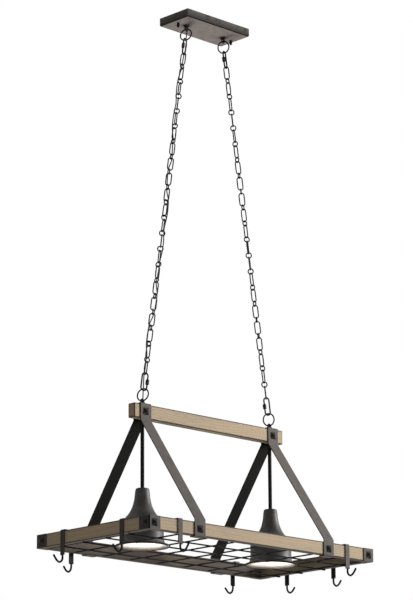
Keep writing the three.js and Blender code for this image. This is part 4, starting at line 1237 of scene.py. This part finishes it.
class POTRACK_OT_lamp_wire(bpy.types.Operator):
    """Make the lamp wire, which is threaded down the left chain from canopy to beam"""

    bl_idname = "potrack.lamp_wire"
    bl_label = "Lamp wire"

    def execute(self, context):
        wires, colours = context.scene.rack_wires, context.scene.rack_colours
        place = ChainPlace("left", wires)
        line = curve_through(self.route(place, wires), 8)
        radius, sides = wires.cord / 2, 12
        skin = Skin()
        around = np.linspace(0, 2 * math.pi * radius, sides + 1)
        grid = rod(line, radius, sides, False, (1, 0, 0))
        skin.add(grid, along=run_lengths(line), around=around)
        cord = skin.build("lamp_cord", "", "wire", [braided_sheath(colours)], ["lamp_wire"])
        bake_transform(cord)
        return {"FINISHED"}

    def route(self, place, wires):
        """The points that the wire goes through: straight down beside the canopy eye's collar, in
        front of every second link and behind the next, and straight down to the beam eye's."""
        low_ring = place.length - place.ring
        collar = wires.collar_height + WIRE_END_GAP
        top_z = node_box("canopy_pan")[0][2] - collar
        bottom_z = node_box("frame_strap_left")[1][2] + collar
        beam_x = place.top[0] + place.spin[0, 2] * -place.length
        points = [
            self.at_collar(place.top[0], top_z, WIRE_COLLAR_TOP),
            self.at_collar(place.top[0], top_z - WIRE_RISE, WIRE_COLLAR_TOP),
        ]
        for drop, radius, direction in WIRE_TOP:
            points.append(self.beside(place, place.ring + drop * MILLIMETRE, radius, direction))
        for quarter in range(4 * (LONG_LINKS - 1) + 1):
            points.append(self.beside_link(place, quarter / 4))
        for rise, radius, direction in WIRE_BOTTOM:
            points.append(self.beside(place, low_ring - rise * MILLIMETRE, radius, direction))
        points.append(self.at_collar(beam_x, bottom_z + WIRE_RISE, WIRE_COLLAR_BOTTOM))
        points.append(self.at_collar(beam_x, bottom_z, WIRE_COLLAR_BOTTOM))
        return np.array(points)

    def at_collar(self, x, z, where):
        """A point beside an eye's collar."""
        radius, angle = where[0] * MILLIMETRE, math.radians(where[1])
        return [x + radius * math.cos(angle), radius * math.sin(angle), z]

    def beside(self, place, drop, radius, direction):
        """A point so far down the chain, and so many millimetres off its line."""
        angle = math.radians(direction)
        local = np.array([math.cos(angle), math.sin(angle), 0]) * radius * MILLIMETRE
        return place.at(local, drop)

    def beside_link(self, place, links):
        """The wire beside a link, with c the cosine of a quarter turn for each link: along the
        link's plane by sway x (steep x c, clipped to 1), and out of it by off + more x c^2."""
        cosine = math.cos(math.pi * links / 2)
        along = WIRE_SWAY * min(1.0, max(-1.0, WIRE_STEEP * cosine))
        off = WIRE_OFF + WIRE_OFF_MORE * cosine * cosine
        spin = TWISTS["left"]["start"] + 180 + links * TWISTS["left"]["step"]
        direction = spin - 90 + math.degrees(math.atan2(along, off))
        drop = place.first + links * place.pitch
        return self.beside(place, drop, math.hypot(along, off), direction)


def add_board(skin, node, timber, shaded):
    """A board of the frame: a rectangle with worn corners carried along its longer level side.
    Each of its columns of points gets at least the given share of painted shade, in the colour of
    the corners' stain."""
    low, high = node_box(node)
    size, middle = high - low, (low + high) / 2
    run = int(np.argmax(size[:2]))
    line = np.array([middle, middle])
    line[0, run], line[1, run] = low[run], high[run]
    beside = np.array([0.0, 1.0, 0.0]) if run == 0 else np.array([-1.0, 0.0, 0.0])
    wide, thick = size[1 - run], size[2]
    points, wear, along, around = bar(line, wide, thick, timber.arris, timber.stain, beside)
    skin.add(points, np.maximum(wear, shaded), along, around, cap=1)


STUD_CORE = 0.003  # radius of the bolt behind a stud
STUD_SINK = 0.0002  # how far a solid bracket's studs sink into its plate
INNER_BEND = 0.0008  # inner radius of a bracket's and a hook's bends


def add_stud(skin, centre, facing, iron, finish=0):
    """A pyramid stud: squares with rounded corners that shrink as they rise from its base, over a
    low upright skirt. Over the skirt, the square at height h has a side of side - (side - tip) x
    h / height."""
    side, tall, skirt = iron.stud_side, iron.stud_height, 0.0009
    tip, ledge, arris, margin = 0.0006, 0.0004, 0.0007, 0.0012
    rise = np.linspace(0.3, 1, 4)
    height = np.array([0, skirt, skirt + ledge, *rise * tall])
    share = 1 - np.array([0, 0, ledge / (tall - skirt), *rise]) * (1 - tip / side)
    loop, on_corner = rectangle_loop(side, side, [0.0], arris, margin, 3)
    across = unit(np.cross(UP, facing))
    flat = loop[0][None] * share[:, None, None]
    grid = centre + flat[..., :1] * across + flat[..., 1:] * UP + height[:, None, None] * facing
    wear = np.maximum(on_corner[None], (height > 0.9 * tall)[:, None])
    skin.add(grid, wear, finish=finish)


class POTRACK_OT_beam(bpy.types.Operator):
    """Make the beam, its two eye bolts and the studded bolts through it"""

    bl_idname = "potrack.beam"
    bl_label = "Beam"

    def execute(self, context):
        timber, iron = context.scene.rack_timber, context.scene.rack_iron
        wires, colours = context.scene.rack_wires, context.scene.rack_colours
        skin = Skin()
        add_board(skin, "beam", timber, BEAM_UNDERSIDE_SHADE * UNDER_FACE)
        oak = [oak_side(colours, "x"), oak_end(colours, "x")]
        skin.build("oak_beam", "rack", "wood", oak, ["beam"])
        for side in SIDES:
            self.make_hanger(side, wires, colours)
            self.make_bolt(side, iron, colours)
        return {"FINISHED"}

    def make_hanger(self, side, wires, colours):
        """An eye bolt that stands on the strap over the beam."""
        low, high = node_box(f"beam_eye_{side}")
        top = node_box(f"frame_strap_{side}")[1][2]
        seat = np.array([(low[0] + high[0]) / 2, 0, top])
        reach = high[2] - wires.eye_wire / 2 - top
        skin = Skin()
        add_eye(skin, wires, seat, 1, reach, wires.beam_eye_turn, top - low[2])
        black = [black_lacquer(colours)]
        skin.build(f"beam_hanger_{side}", "rack", "iron", black, [f"beam_eye_{side}"])

    def make_bolt(self, side, iron, colours):
        """Two studs and the rod between them, which is a little longer and so ends inside both."""
        low, high = node_box(f"beam_bolt_{side}")
        middle = (low + high) / 2
        reach = (high[1] - low[1]) / 2 - iron.stud_height
        skin = Skin()
        for facing in (-1, 1):
            add_stud(skin, middle + [0, facing * reach, 0], np.array([0.0, facing, 0.0]), iron)
        into_studs = 1.02
        line = middle + np.array([[0, -reach, 0], [0, reach, 0]]) * into_studs
        skin.add_rod(line, STUD_CORE, 16, UP)
        stud = [forged_iron(colours, "iron_stud")]
        skin.build(f"beam_studs_{side}", "rack", "iron", stud, [f"beam_bolt_{side}"], 25)


class POTRACK_OT_straps(bpy.types.Operator):
    """Make the two A-shaped straps and the studded bolts at their feet"""

    bl_idname = "potrack.straps"
    bl_label = "Straps"

    def execute(self, context):
        iron, colours = context.scene.rack_iron, context.scene.rack_colours
        for side in SIDES:
            self.make_strap(side, iron, colours)
            for end, facing in ENDS.items():
                self.make_foot_bolt(side, end, facing, iron, colours)
        return {"FINISHED"}

    def make_strap(self, side, iron, colours):
        """A flat bar carried under the front rail, up its outside, in to the beam's side, over the
        beam and down to the back rail in the same way. Its bends are arcs."""
        low, high = node_box(f"frame_strap_{side}")
        rail_low, rail_high = node_box("rail_front")
        beam_low, beam_high = node_box("beam")
        thick = high[2] - beam_high[2]
        x, half = (low[0] + high[0]) / 2, thick / 2
        inside, outside = -rail_high[1], -rail_low[1] + half
        beam_side = beam_high[1] + half
        knee = rail_high[2] + iron.over_rail
        neck = beam_low[2] - iron.under_beam
        leg = [
            (inside, rail_low[2] - half),
            (outside, rail_low[2] - half),
            (outside, knee),
            (beam_side, neck),
            (beam_side, beam_high[2] + half),
        ]
        corners = [(x, -y, z) for y, z in leg] + [(x, y, z) for y, z in leg[::-1]]
        line, wide = bent_line(corners, iron.bend), high[0] - low[0]
        finishes = [forged_iron(colours, "iron"), black_lacquer(colours)]
        skin = Skin()
        skin.add_bar(line, wide, thick, iron.arris, iron.wear, (1, 0, 0), STRAP_SHADED_FACES, 1)
        skin.build(f"iron_strap_{side}", "rack", "iron", finishes, [f"frame_strap_{side}"])

    def make_foot_bolt(self, side, end, facing, iron, colours):
        """A stud on the strap and the rod behind it, which starts a little way inside the stud."""
        name = f"{end}_{side}"
        low, high = node_box(f"foot_bolt_{name}")
        x, _, z = (low + high) / 2
        tip, deep = (low[1], high[1]) if facing < 0 else (high[1], low[1])
        base = np.array([x, tip - facing * iron.stud_height, z])
        into_stud = 0.0005
        start = base + [0, facing * into_stud, 0]
        skin = Skin()
        add_stud(skin, base, np.array([0.0, facing, 0.0]), iron)
        skin.add_rod(np.array([start, [x, deep, z]]), STUD_CORE, 16, UP)
        stud = [forged_iron(colours, "iron_stud")]
        skin.build(f"strap_stud_{name}", "rack", "iron", stud, [f"foot_bolt_{name}"], 25)


class POTRACK_OT_rails(bpy.types.Operator):
    """Make the four oak rails and the studded angle plates round their corners"""

    bl_idname = "potrack.rails"
    bl_label = "Rails and brackets"

    def execute(self, context):
        timber, iron = context.scene.rack_timber, context.scene.rack_iron
        colours = context.scene.rack_colours
        rails = {
            "front": ("x", LONG_RAIL_INSIDE_SHADE * FOURTH_FACE),
            "back": ("x", LONG_RAIL_INSIDE_SHADE * SECOND_FACE),
            "left": ("y", SHORT_RAIL_INSIDE_SHADE * SECOND_FACE),
            "right": ("y", SHORT_RAIL_INSIDE_SHADE * FOURTH_FACE),
        }
        for name, (grain, inner_shade) in rails.items():
            skin = Skin()
            add_board(skin, f"rail_{name}", timber, RAIL_UNDERSIDE_SHADE * UNDER_FACE + inner_shade)
            finishes = [oak_side(colours, grain), oak_end(colours, grain)]
            skin.build(f"oak_rail_{name}", "rack", "wood", finishes, [f"rail_{name}"])
        for end, y in ENDS.items():
            for side, x in SIDES.items():
                self.make_bracket(f"{end}_{side}", x, y, iron, colours)
        return {"FINISHED"}

    def make_bracket(self, name, x, y, iron, colours):
        """An upright plate carried round the corner that x and y point to, each 1 or -1, with a
        stud on each leg. The bend is painted black as a line of shade, and the leg after it, which
        faces along X, takes the shaded copy of the iron as painted shade."""
        low, high = node_box(f"bracket_{name}")
        rail_low, rail_high = node_box("rail_front")
        corner = np.array([x * rail_high[0], y * -rail_low[1], (low[2] + high[2]) / 2])
        inner_x, stud_tip = (low[0], high[0]) if x > 0 else (high[0], low[0])
        inner_y = low[1] if y > 0 else high[1]
        thick = abs(stud_tip - corner[0]) - iron.stud_height + STUD_SINK
        half = thick / 2
        out = corner + [x * half, y * half, 0]
        corners = [[inner_x, out[1], out[2]], out, [out[0], inner_y, out[2]]]
        line, tall = bent_line(corners, half + INNER_BEND), high[2] - low[2]
        points, wear, along, around = bar(line, tall, thick, iron.arris, iron.wear, UP)
        bend = np.linalg.norm(points.mean(axis=1) - out, axis=1) < iron.bend_line
        second = np.arange(len(bend) - 1)[:, None] >= np.argmax(bend)
        outer = np.roll(STRAP_SHADED_FACES, 0 if x * y > 0 else 12)
        # Painted shade: the leg after the bend, which faces along X, takes the shaded copy of the
        # iron.
        outer = np.where(second & (outer == 0), 2, outer)
        # Painted shade: the rows round the bend are black.
        bend_shade_rows = (bend[1:] & bend[:-1])[:, None]
        skin = Skin()
        skin.add(points, wear, along, around, finish=np.where(bend_shade_rows, 1, outer), cap=1)
        leg = abs(out[0] - inner_x) + half
        across = corner + [x * (thick - leg / 2), y * thick, 0]
        beside = corner + [x * thick, y * (thick - leg / 2), 0]
        add_stud(skin, across, np.array([0.0, y, 0.0]), iron, 3)
        add_stud(skin, beside, np.array([float(x), 0.0, 0.0]), iron, 3)
        tints = [forged_iron(colours, tint) for tint in ("iron", "iron_smoky", "iron_stud")]
        finishes = [tints[0], black_lacquer(colours), *tints[1:]]
        skin.build(f"iron_bracket_{name}", "rack", "iron", finishes, [f"bracket_{name}"], 25)


class POTRACK_OT_grid(bpy.types.Operator):
    """Make the welded wire grid inside the frame, with a hoop round each lamp"""

    bl_idname = "potrack.grid"
    bl_label = "Grid"

    def execute(self, context):
        iron, lamps = context.scene.rack_iron, context.scene.rack_lamps
        colours = context.scene.rack_colours
        high = node_box("grid")[1]
        radius = iron.grid_wire / 2
        upper = high[2] - radius
        lower = upper - iron.grid_wire + iron.grid_weld
        lamp_x = node_middle("lamp_stem_right")[0]
        hoop = lamps.rim + iron.hoop_clearance + radius
        skin = Skin()
        many_x = int(high[0] / iron.grid_step_x)
        for i in range(-many_x, many_x + 1):
            x = i * iron.grid_step_x
            for start, end in self.stretches(high[1], abs(x) - lamp_x, [0.0], hoop):
                skin.add_rod(np.array([[x, start, upper], [x, end, upper]]), radius, 12, UP)
        many_y = int(high[1] / iron.grid_step_y + 0.5)
        for i in range(-many_y, many_y):
            y = (i + 0.5) * iron.grid_step_y
            for start, end in self.stretches(high[0], y, [-lamp_x, lamp_x], hoop):
                skin.add_rod(np.array([[start, y, lower], [end, y, lower]]), radius, 12, UP)
        for x in SIDES.values():
            grid = rod(circle_line(hoop, 96), radius, 12, True)
            flat = grid[..., [0, 2, 1]] + [x * lamp_x, 0, (upper + lower) / 2]
            skin.add(flat, closed=True)
        skin.build("wire_grid", "rack", "iron", [black_lacquer(colours)], ["grid"])
        return {"FINISHED"}

    def stretches(self, half, across, centres, hoop):
        """The runs of a wire from -half to half that lie outside the hoops, which it meets at
        centre +- the root of (hoop^2 - across^2)."""
        stops = [-half, half]
        if abs(across) < hoop:
            reach = math.sqrt(hoop**2 - across**2)
            stops[1:1] = [centre + sign * reach for centre in centres for sign in (-1, 1)]
        return list(zip(stops[::2], stops[1::2]))


class POTRACK_OT_lamps(bpy.types.Operator):
    """Make the lamps: stem, spun shade, holder and lit bulb"""

    bl_idname = "potrack.lamps"
    bl_label = "Lamps"

    def execute(self, context):
        lamps, colours = context.scene.rack_lamps, context.scene.rack_colours
        for side in SIDES:
            centre = np.array([node_middle(f"lamp_shade_{side}")[0], 0, 0])
            self.make_stem(side, centre, lamps, colours)
            self.make_bell(side, centre, lamps, colours)
            self.make_drum(side, centre, lamps, colours)
            self.make_socket(side, centre, lamps, colours)
            self.make_bulb(side, centre, lamps, colours)
        return {"FINISHED"}

    def make_stem(self, side, centre, lamps, colours):
        """A turned tube whose outer edges are broken."""
        low, high = node_box(f"lamp_stem_{side}")
        outer, inner = lamps.stem / 2, lamps.stem / 2 - lamps.stem_wall
        edge = 0.0004
        outline = [
            (inner, low[2]),
            (outer - edge, low[2]),
            (outer, low[2] + edge),
            (outer, high[2] - edge),
            (outer - edge, high[2]),
            (inner, high[2]),
        ]
        Skin().add(turned(outline, 32, centre), closed=True).build(
            f"lamp_tube_{side}", "rack", "iron", [black_lacquer(colours)], [f"lamp_stem_{side}"]
        )

    def make_bell(self, side, centre, lamps, colours):
        """The shade's upper part: rounded shoulder, long neck and flare down to the seam, as a
        smooth curve through (radius, depth under the top)."""
        low, high = node_box(f"lamp_shade_{side}")
        top = high[2]
        neck = [
            (0.0166, 0.0),
            (0.0190, 0.0007),
            (0.0206, 0.0028),
            (0.0222, 0.0092),
            (0.0249, 0.033),
            (0.031, 0.057),
            (0.0415, 0.078),
            (0.054, 0.093),
            (lamps.drum - 0.0018, 0.1062),
            (lamps.drum, 0.1095),
        ]
        hole = lamps.stem / 2 + GAP
        curve = curve_through([(r, top - d) for r, d in neck], 8)
        outside = [(hole, top), *curve, (lamps.drum, low[2])]
        names = (f"lamp_bell_{side}", f"lamp_shade_{side}")
        self.make_shell(*names, outside, [], centre, lamps, colours)

    def make_drum(self, side, centre, lamps, colours):
        """The shade's lower part: a low bead of (share of how proud it stands, millimetres under
        the top) at the seam, a straight wall, a curve out to the lip, and a rim that is rolled
        inwards, at angle s of the roll's middle + bead (cos s, sin s)."""
        low, high = node_box(f"lamp_drum_{side}")
        rim, top, lip, bead = low[2], high[2], low[2] + lamps.lip, lamps.bead
        proud = 0.0008
        seam = [(0, 0), (0.4, 0.1), (1, 0.8), (1, 1.6), (0.5, 2.4), (0, 2.8)]
        flare = [
            (lamps.drum, lip + 0.003),
            (lamps.drum + 0.0006, lip - 0.004),
            (lamps.drum + 0.0042, rim + 0.0115),
            (lamps.rim - bead, rim + 0.0026),
        ]
        outside = [
            *[(lamps.drum + out * proud, top - down * MILLIMETRE) for out, down in seam],
            *curve_through(flare, 8),
        ]
        s = 1.1 - np.linspace(0.1, 1.7, 9) * np.pi
        middle = np.array([lamps.rim - bead, rim + bead])
        rolled = middle + bead * np.stack([np.cos(s), np.sin(s)], axis=1)
        names = (f"lamp_drum_{side}_shell", f"lamp_drum_{side}")
        self.make_shell(*names, outside, rolled, centre, lamps, colours)

    def make_shell(self, name, node, outside, rolled, centre, lamps, colours):
        """An outside of (radius, height) from top to bottom, a roll at its foot and the same line
        drawn in by the wall, turned about the lamp's middle line. Its inside is enamelled from
        within the roll upwards."""
        outside = np.array(outside)
        slope = np.c_[outside, np.zeros(len(outside))]
        inward = directions(slope, False, (0, 0, 1))[2][:, :2]
        inward *= -np.sign(inward[-3, 0])  # at the foot, inwards is towards the middle line
        inside = (outside + lamps.wall * inward)[::-1]
        inside[[0, -1], 1] = outside[[-1, 0], 1]
        if outside[0, 0] < lamps.stem:  # the hole round the stem is cut straight down
            inside[-1] = outside[0] - [0, lamps.wall]
        outline = np.concatenate([outside, np.reshape(rolled, (-1, 2)), inside])
        rows, turned_in = len(outline), len(outside) + max(len(rolled) - 3, 0)
        within = ((np.arange(rows) >= turned_in) & (np.arange(rows) < rows - 1)).astype(int)
        wear = np.zeros(rows)
        wear[len(outside) : len(outside) + len(rolled)] = 0.6
        skin = Skin()
        grid = turned(outline, 72, centre)
        skin.add(grid, wear[:, None], run_lengths(outline), closed=True, finish=within[:, None])
        skin.build(name, "rack", "shade", [gunmetal(colours), cream_enamel(colours)], [node])

    def make_socket(self, side, centre, lamps, colours):
        """The turned lamp holder: a rounded shoulder, a groove round it and a bore for the bulb."""
        low, high = node_box(f"lamp_socket_{side}")
        wide, hole = lamps.socket, lamps.stem / 2 + GAP
        mouth = lamps.bulb_base + GAP
        outline = [
            (hole, high[2]),
            (hole + 0.003, high[2]),
            (wide - 0.004, high[2] - 0.0035),
            (wide - 0.0008, high[2] - 0.0072),
            (wide, high[2] - 0.010),
            (wide, low[2] + 0.030),
            (wide - 0.0012, low[2] + 0.028),
            (wide - 0.0012, low[2] + 0.025),
            (wide, low[2] + 0.023),
            (wide, low[2] + 0.0012),
            (wide - 0.0012, low[2]),
            (mouth, low[2]),
            (mouth, low[2] + 0.027),
            (hole, low[2] + 0.0275),
        ]
        Skin().add(turned(outline, 48, centre), closed=True).build(
            f"lamp_holder_{side}",
            "rack",
            "socket",
            [glazed_holder(colours)],
            [f"lamp_socket_{side}"],
        )

    def make_bulb(self, side, centre, lamps, colours):
        """A turned bulb: a globe of radius (cos s, sin s), a smooth neck and a screw base."""
        low, high = node_box(f"lamp_bulb_{side}")
        mouth = node_box(f"lamp_socket_{side}")[0][2]
        middle = low[2] + lamps.bulb
        s = np.linspace(-0.49, 0.28, 22) * np.pi
        globe = np.stack([lamps.bulb * np.cos(s), middle + lamps.bulb * np.sin(s)], axis=1)
        neck = [
            (globe[-1, 0], globe[-1, 1]),
            (0.0155, middle + 1.25 * lamps.bulb),
            (lamps.bulb_base + 0.0003, mouth - 0.006),
            (lamps.bulb_base - 0.0006, mouth - 0.002),
        ]
        glass = np.concatenate([globe[:-1], curve_through(neck, 6)])
        crest, ridge_depth = lamps.bulb_base - 0.0008, 0.0007
        heights = np.linspace(mouth - 0.002, high[2] - 0.001, 31)
        thread = thread_outline(crest, ridge_depth, heights)
        outline = np.concatenate([glass, thread, [(0.005, high[2])]])
        finish = (np.arange(len(outline) - 1) >= len(glass) - 1).astype(int)[:, None]
        Skin().add(turned(outline, 40, centre), finish=finish).build(
            f"lamp_globe_{side}",
            "rack",
            "bulb",
            [lit_glass(colours), brass_thread(colours)],
            [f"lamp_bulb_{side}"],
        )


class POTRACK_OT_hooks(bpy.types.Operator):
    """Make the eight sliding hooks: a strap over the rail and a bent rod under it"""

    bl_idname = "potrack.hooks"
    bl_label = "Hooks"

    def execute(self, context):
        hooks, iron = context.scene.rack_hooks, context.scene.rack_iron
        colours = context.scene.rack_colours
        out = {"front": (0, -1), "back": (0, 1), "left": (-1, 0), "right": (1, 0)}
        names = [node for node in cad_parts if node.startswith("hook_")]
        for name in sorted(names):
            self.make_hook(name, np.array([*out[name.split("_")[1]], 0.0]), hooks, iron, colours)
        return {"FINISHED"}

    def make_hook(self, name, out, hooks, iron, colours):
        """A flat strap over the rail and a round rod on its lower end, carried along lines in the
        upright plane across the rail. A line's points are (distance out from the rail's outer
        face, height over its underside), and the rod's are joined by a smooth curve."""
        low, high = node_box(name)
        rail_low, rail_high = node_box(f"rail_{name.split('_')[1]}")
        board = min((rail_high - rail_low)[:2])
        face = np.where(out > 0, rail_high, rail_low) * np.abs(out)
        beside = np.array([abs(out[1]), abs(out[0]), 0.0])
        foot = face + beside * (low + high) / 2 + UP * rail_low[2]
        half = hooks.thickness / 2
        tall = rail_high[2] - rail_low[2]
        strap = [
            (-board - GAP - half, tall - hooks.inner_leg),
            (-board - GAP - half, tall + GAP + half),
            (GAP + half, tall + GAP + half),
            (GAP + half, -hooks.drop),
        ]
        line = bent_line([foot + x * out + z * UP for x, z in strap], half + INNER_BEND)
        skin = Skin()
        across = np.cross(out, UP)
        edges = (iron.arris, iron.wear)
        skin.add_bar(line, hooks.width, hooks.thickness, *edges, across, STRAP_SHADED_FACES, 1)
        start, bowl = GAP + half, -hooks.drop - hooks.bowl_depth
        bend = hooks.bowl_depth - hooks.rod_straight
        points = [
            (start, -hooks.drop + hooks.rod_lap),
            (start, -hooks.drop - hooks.rod_straight),
            (start + 0.3 * bend, bowl + 0.38 * bend),
            (start + 0.34 * hooks.reach, bowl),
            (start + 0.62 * hooks.reach, bowl + 0.2 * hooks.bowl_depth),
            (start + 0.82 * hooks.reach, bowl + 0.55 * hooks.bowl_depth),
            (start + hooks.reach, bowl + 0.94 * hooks.bowl_depth),
        ]
        curve = curve_through([foot + x * out + z * UP for x, z in points], 6)
        skin.add_rod(curve, hooks.rod / 2, 14, across, 1)
        # Painted shade: hooks on the left and right rails face along X and take the shaded copy of
        # the iron.
        tint = "iron" if out[1] else "iron_smoky"
        finishes = [forged_iron(colours, tint), black_lacquer(colours)]
        skin.build(f"iron_{name}", name, "iron", finishes, [name])


# ---------------------------------------------------------------- stage


def turned_to(right, up, back):
    """The matrix that turns +X, +Y and +Z to three directions."""
    return Matrix(np.stack([right, up, back], axis=1).tolist()).to_4x4()


class POTRACK_OT_stage(bpy.types.Operator):
    """Set up the camera, the lamps, the white surroundings and the floor"""

    bl_idname = "potrack.stage"
    bl_label = "Stage"

    def execute(self, context):
        stage, colours = context.scene.rack_stage, context.scene.rack_colours
        context.scene.view_settings.view_transform = "Standard"
        self.make_camera(context.scene, stage)
        self.make_lamps(stage)
        self.make_world(context.scene, stage)
        self.make_floor(stage, colours)
        return {"FINISHED"}

    def make_camera(self, scene, stage):
        """The camera stands at an azimuth and a level distance, looks level towards the rack's
        upright middle line, then pitches up and rolls."""
        a, pitch, roll = stage.azimuth, stage.pitch, stage.roll
        level = np.array([-math.sin(a), math.cos(a), 0])
        right = np.array([math.cos(a), math.sin(a), 0])
        place = UP * stage.height - level * stage.distance
        ahead = level * math.cos(pitch) + UP * math.sin(pitch)
        above = np.cross(right, ahead)
        rolled = right * math.cos(roll) + above * math.sin(roll)
        upright = above * math.cos(roll) - right * math.sin(roll)
        camera = bpy.data.cameras.new("photo_camera")
        camera.sensor_width = 36.0
        camera.lens = camera.sensor_width * stage.focal_pixels / max(PHOTO_WIDTH, PHOTO_HEIGHT)
        camera.clip_start, camera.clip_end = 0.1, 100.0
        holder = bpy.data.objects.new("photo_camera", camera)
        aim = turned_to(rolled, upright, -ahead)
        holder.matrix_world = Matrix.Translation(place.tolist()) @ aim
        scene.collection.objects.link(holder)
        scene.camera = holder

    def make_lamps(self, stage):
        """Two broad lamps, one at the front right, higher than the frame, and one under the back.
        For each: its direction from a point under the ceiling, that point's depth, the lamp's
        diameter, its spread in degrees and its power."""
        lamps = {
            "key_lamp": ((0.78, -0.52, 0.28), 1.5, 2.2, 52, stage.key),
            "under_lamp": ((0.05, 0.50, -0.86), 0.9, 3.0, 180, stage.under),
        }
        away = 6.0
        for name, (direction, drop, size, spread, power) in lamps.items():
            light = bpy.data.lights.new(name, "AREA")
            light.shape, light.size, light.energy = "DISK", size, power
            light.spread = math.radians(spread)
            holder = bpy.data.objects.new(name, light)
            back = unit(np.array(direction))
            side = unit(np.cross(UP, back))
            holder.location = back * away - UP * drop
            holder.rotation_euler = turned_to(side, np.cross(back, side), back).to_euler()
            holder.visible_camera = False
            bpy.context.scene.collection.objects.link(holder)

    def make_world(self, scene, stage):
        """White for what is seen directly, mirrored or looked through, and a soft fill for the
        rest. The greatest of the ray's camera, glossy and transmission marks chooses."""
        world = bpy.data.worlds.new("studio")
        scene.world = world
        world.use_nodes = True
        tree = world.node_tree
        tree.nodes.clear()
        ray = tree.nodes.new("ShaderNodeLightPath")
        white = tree.nodes.new("ShaderNodeBackground")
        fill = tree.nodes.new("ShaderNodeBackground")
        fill.inputs["Strength"].default_value = stage.fill
        white.inputs["Color"].default_value = (1, 1, 1, 1)
        fill.inputs["Color"].default_value = (1, 1, 1, 1)
        seen = ray.outputs["Is Camera Ray"]
        for name in ("Is Glossy Ray", "Is Transmission Ray"):
            either = tree.nodes.new("ShaderNodeMath")
            either.operation = "MAXIMUM"
            tree.links.new(seen, either.inputs[0])
            tree.links.new(ray.outputs[name], either.inputs[1])
            seen = either.outputs[0]
        mix = tree.nodes.new("ShaderNodeMixShader")
        output = tree.nodes.new("ShaderNodeOutputWorld")
        tree.links.new(seen, mix.inputs[0])
        tree.links.new(fill.outputs[0], mix.inputs[1])
        tree.links.new(white.outputs[0], mix.inputs[2])
        tree.links.new(mix.outputs[0], output.inputs["Surface"])

    def make_floor(self, stage, colours):
        """A round floor, a flat face with its corners at radius (cos v, sin v), whose pale paint
        fades to the white of the surroundings further out."""
        radius, sides = 40.0, 96
        fade_from, fade_to = 3.0, 9.0
        v = 2 * np.pi * np.arange(sides) / sides
        level = np.full(sides, -stage.floor_drop)
        ring = np.stack([radius * np.cos(v), radius * np.sin(v), level], axis=1)
        mesh = bpy.data.meshes.new("studio_floor")
        mesh.from_pydata(ring.tolist(), [], [list(range(sides))])
        floor = bpy.data.objects.new("studio_floor", mesh)
        bpy.context.scene.collection.objects.link(floor)
        paint = Finish("studio_floor")
        x, y, _ = paint.parts(paint.place())
        scattered = paint.node("ShaderNodeLightPath", output="Is Diffuse Ray")
        far = paint.step((x**2.0 + y**2.0) ** 0.5, fade_from, fade_to) * (1 - scattered)
        speckle = paint.noise(paint.place(), (30.0, 30.0, 30.0), 2.0)
        tone = paint.mix(speckle * 0.1, colours.floor, (0.8, 0.8, 0.79))
        matt = paint.node("ShaderNodeBsdfDiffuse", inputs={"Color": tone})
        glow = paint.node("ShaderNodeEmission", inputs={"Color": (1, 1, 1), "Strength": 1.0})
        mixed = paint.node("ShaderNodeMixShader", inputs={0: far, 1: matt, 2: glow})
        paint.node_out(mixed)
        mesh.materials.append(paint.material)


class POTRACK_PT_panel(bpy.types.Panel):
    """Lists the rack's makers and sizes"""

    bl_idname = "POTRACK_PT_panel"
    bl_label = "Pot Rack"
    bl_space_type = "VIEW_3D"
    bl_region_type = "UI"
    bl_category = "Pot Rack"

    def draw(self, context):
        for operator in OPERATORS:
            self.layout.operator(operator.bl_idname, text=operator.bl_label)
        for name, group in GROUPS.items():
            box = self.layout.box()
            box.label(text=group.__doc__.rstrip("."))
            for key in group.__annotations__:
                box.prop(getattr(context.scene, name), key)


OPERATORS = (
    POTRACK_OT_stage,
    POTRACK_OT_lamp_wire,
    POTRACK_OT_canopy,
    POTRACK_OT_chains,
    POTRACK_OT_beam,
    POTRACK_OT_straps,
    POTRACK_OT_rails,
    POTRACK_OT_grid,
    POTRACK_OT_lamps,
    POTRACK_OT_hooks,
)
GROUPS = {
    "rack_wires": WireSizes,
    "rack_timber": TimberSizes,
    "rack_iron": IronSizes,
    "rack_hooks": HookSizes,
    "rack_lamps": LampSizes,
    "rack_colours": Colours,
    "rack_stage": StageSettings,
}


def register():
    """Adds the groups, the operators and the panel, and the scene's own sizes and colours."""
    for group in GROUPS.values():
        bpy.utils.register_class(group)
    for name, group in GROUPS.items():
        setattr(bpy.types.Scene, name, bpy.props.PointerProperty(type=group))
    for operator in OPERATORS:
        bpy.utils.register_class(operator)
    bpy.utils.register_class(POTRACK_PT_panel)


def unregister():
    """Takes them away again."""
    bpy.utils.unregister_class(POTRACK_PT_panel)
    for operator in reversed(OPERATORS):
        bpy.utils.unregister_class(operator)
    for name in GROUPS:
        delattr(bpy.types.Scene, name)
    for group in reversed(GROUPS.values()):
        bpy.utils.unregister_class(group)


def main():
    """Registers the classes and makes every piece."""
    register()
    for operator in OPERATORS:
        group, name = operator.bl_idname.split(".")
        getattr(getattr(bpy.ops, group), name)()


if __name__ == "__main__":
    main()
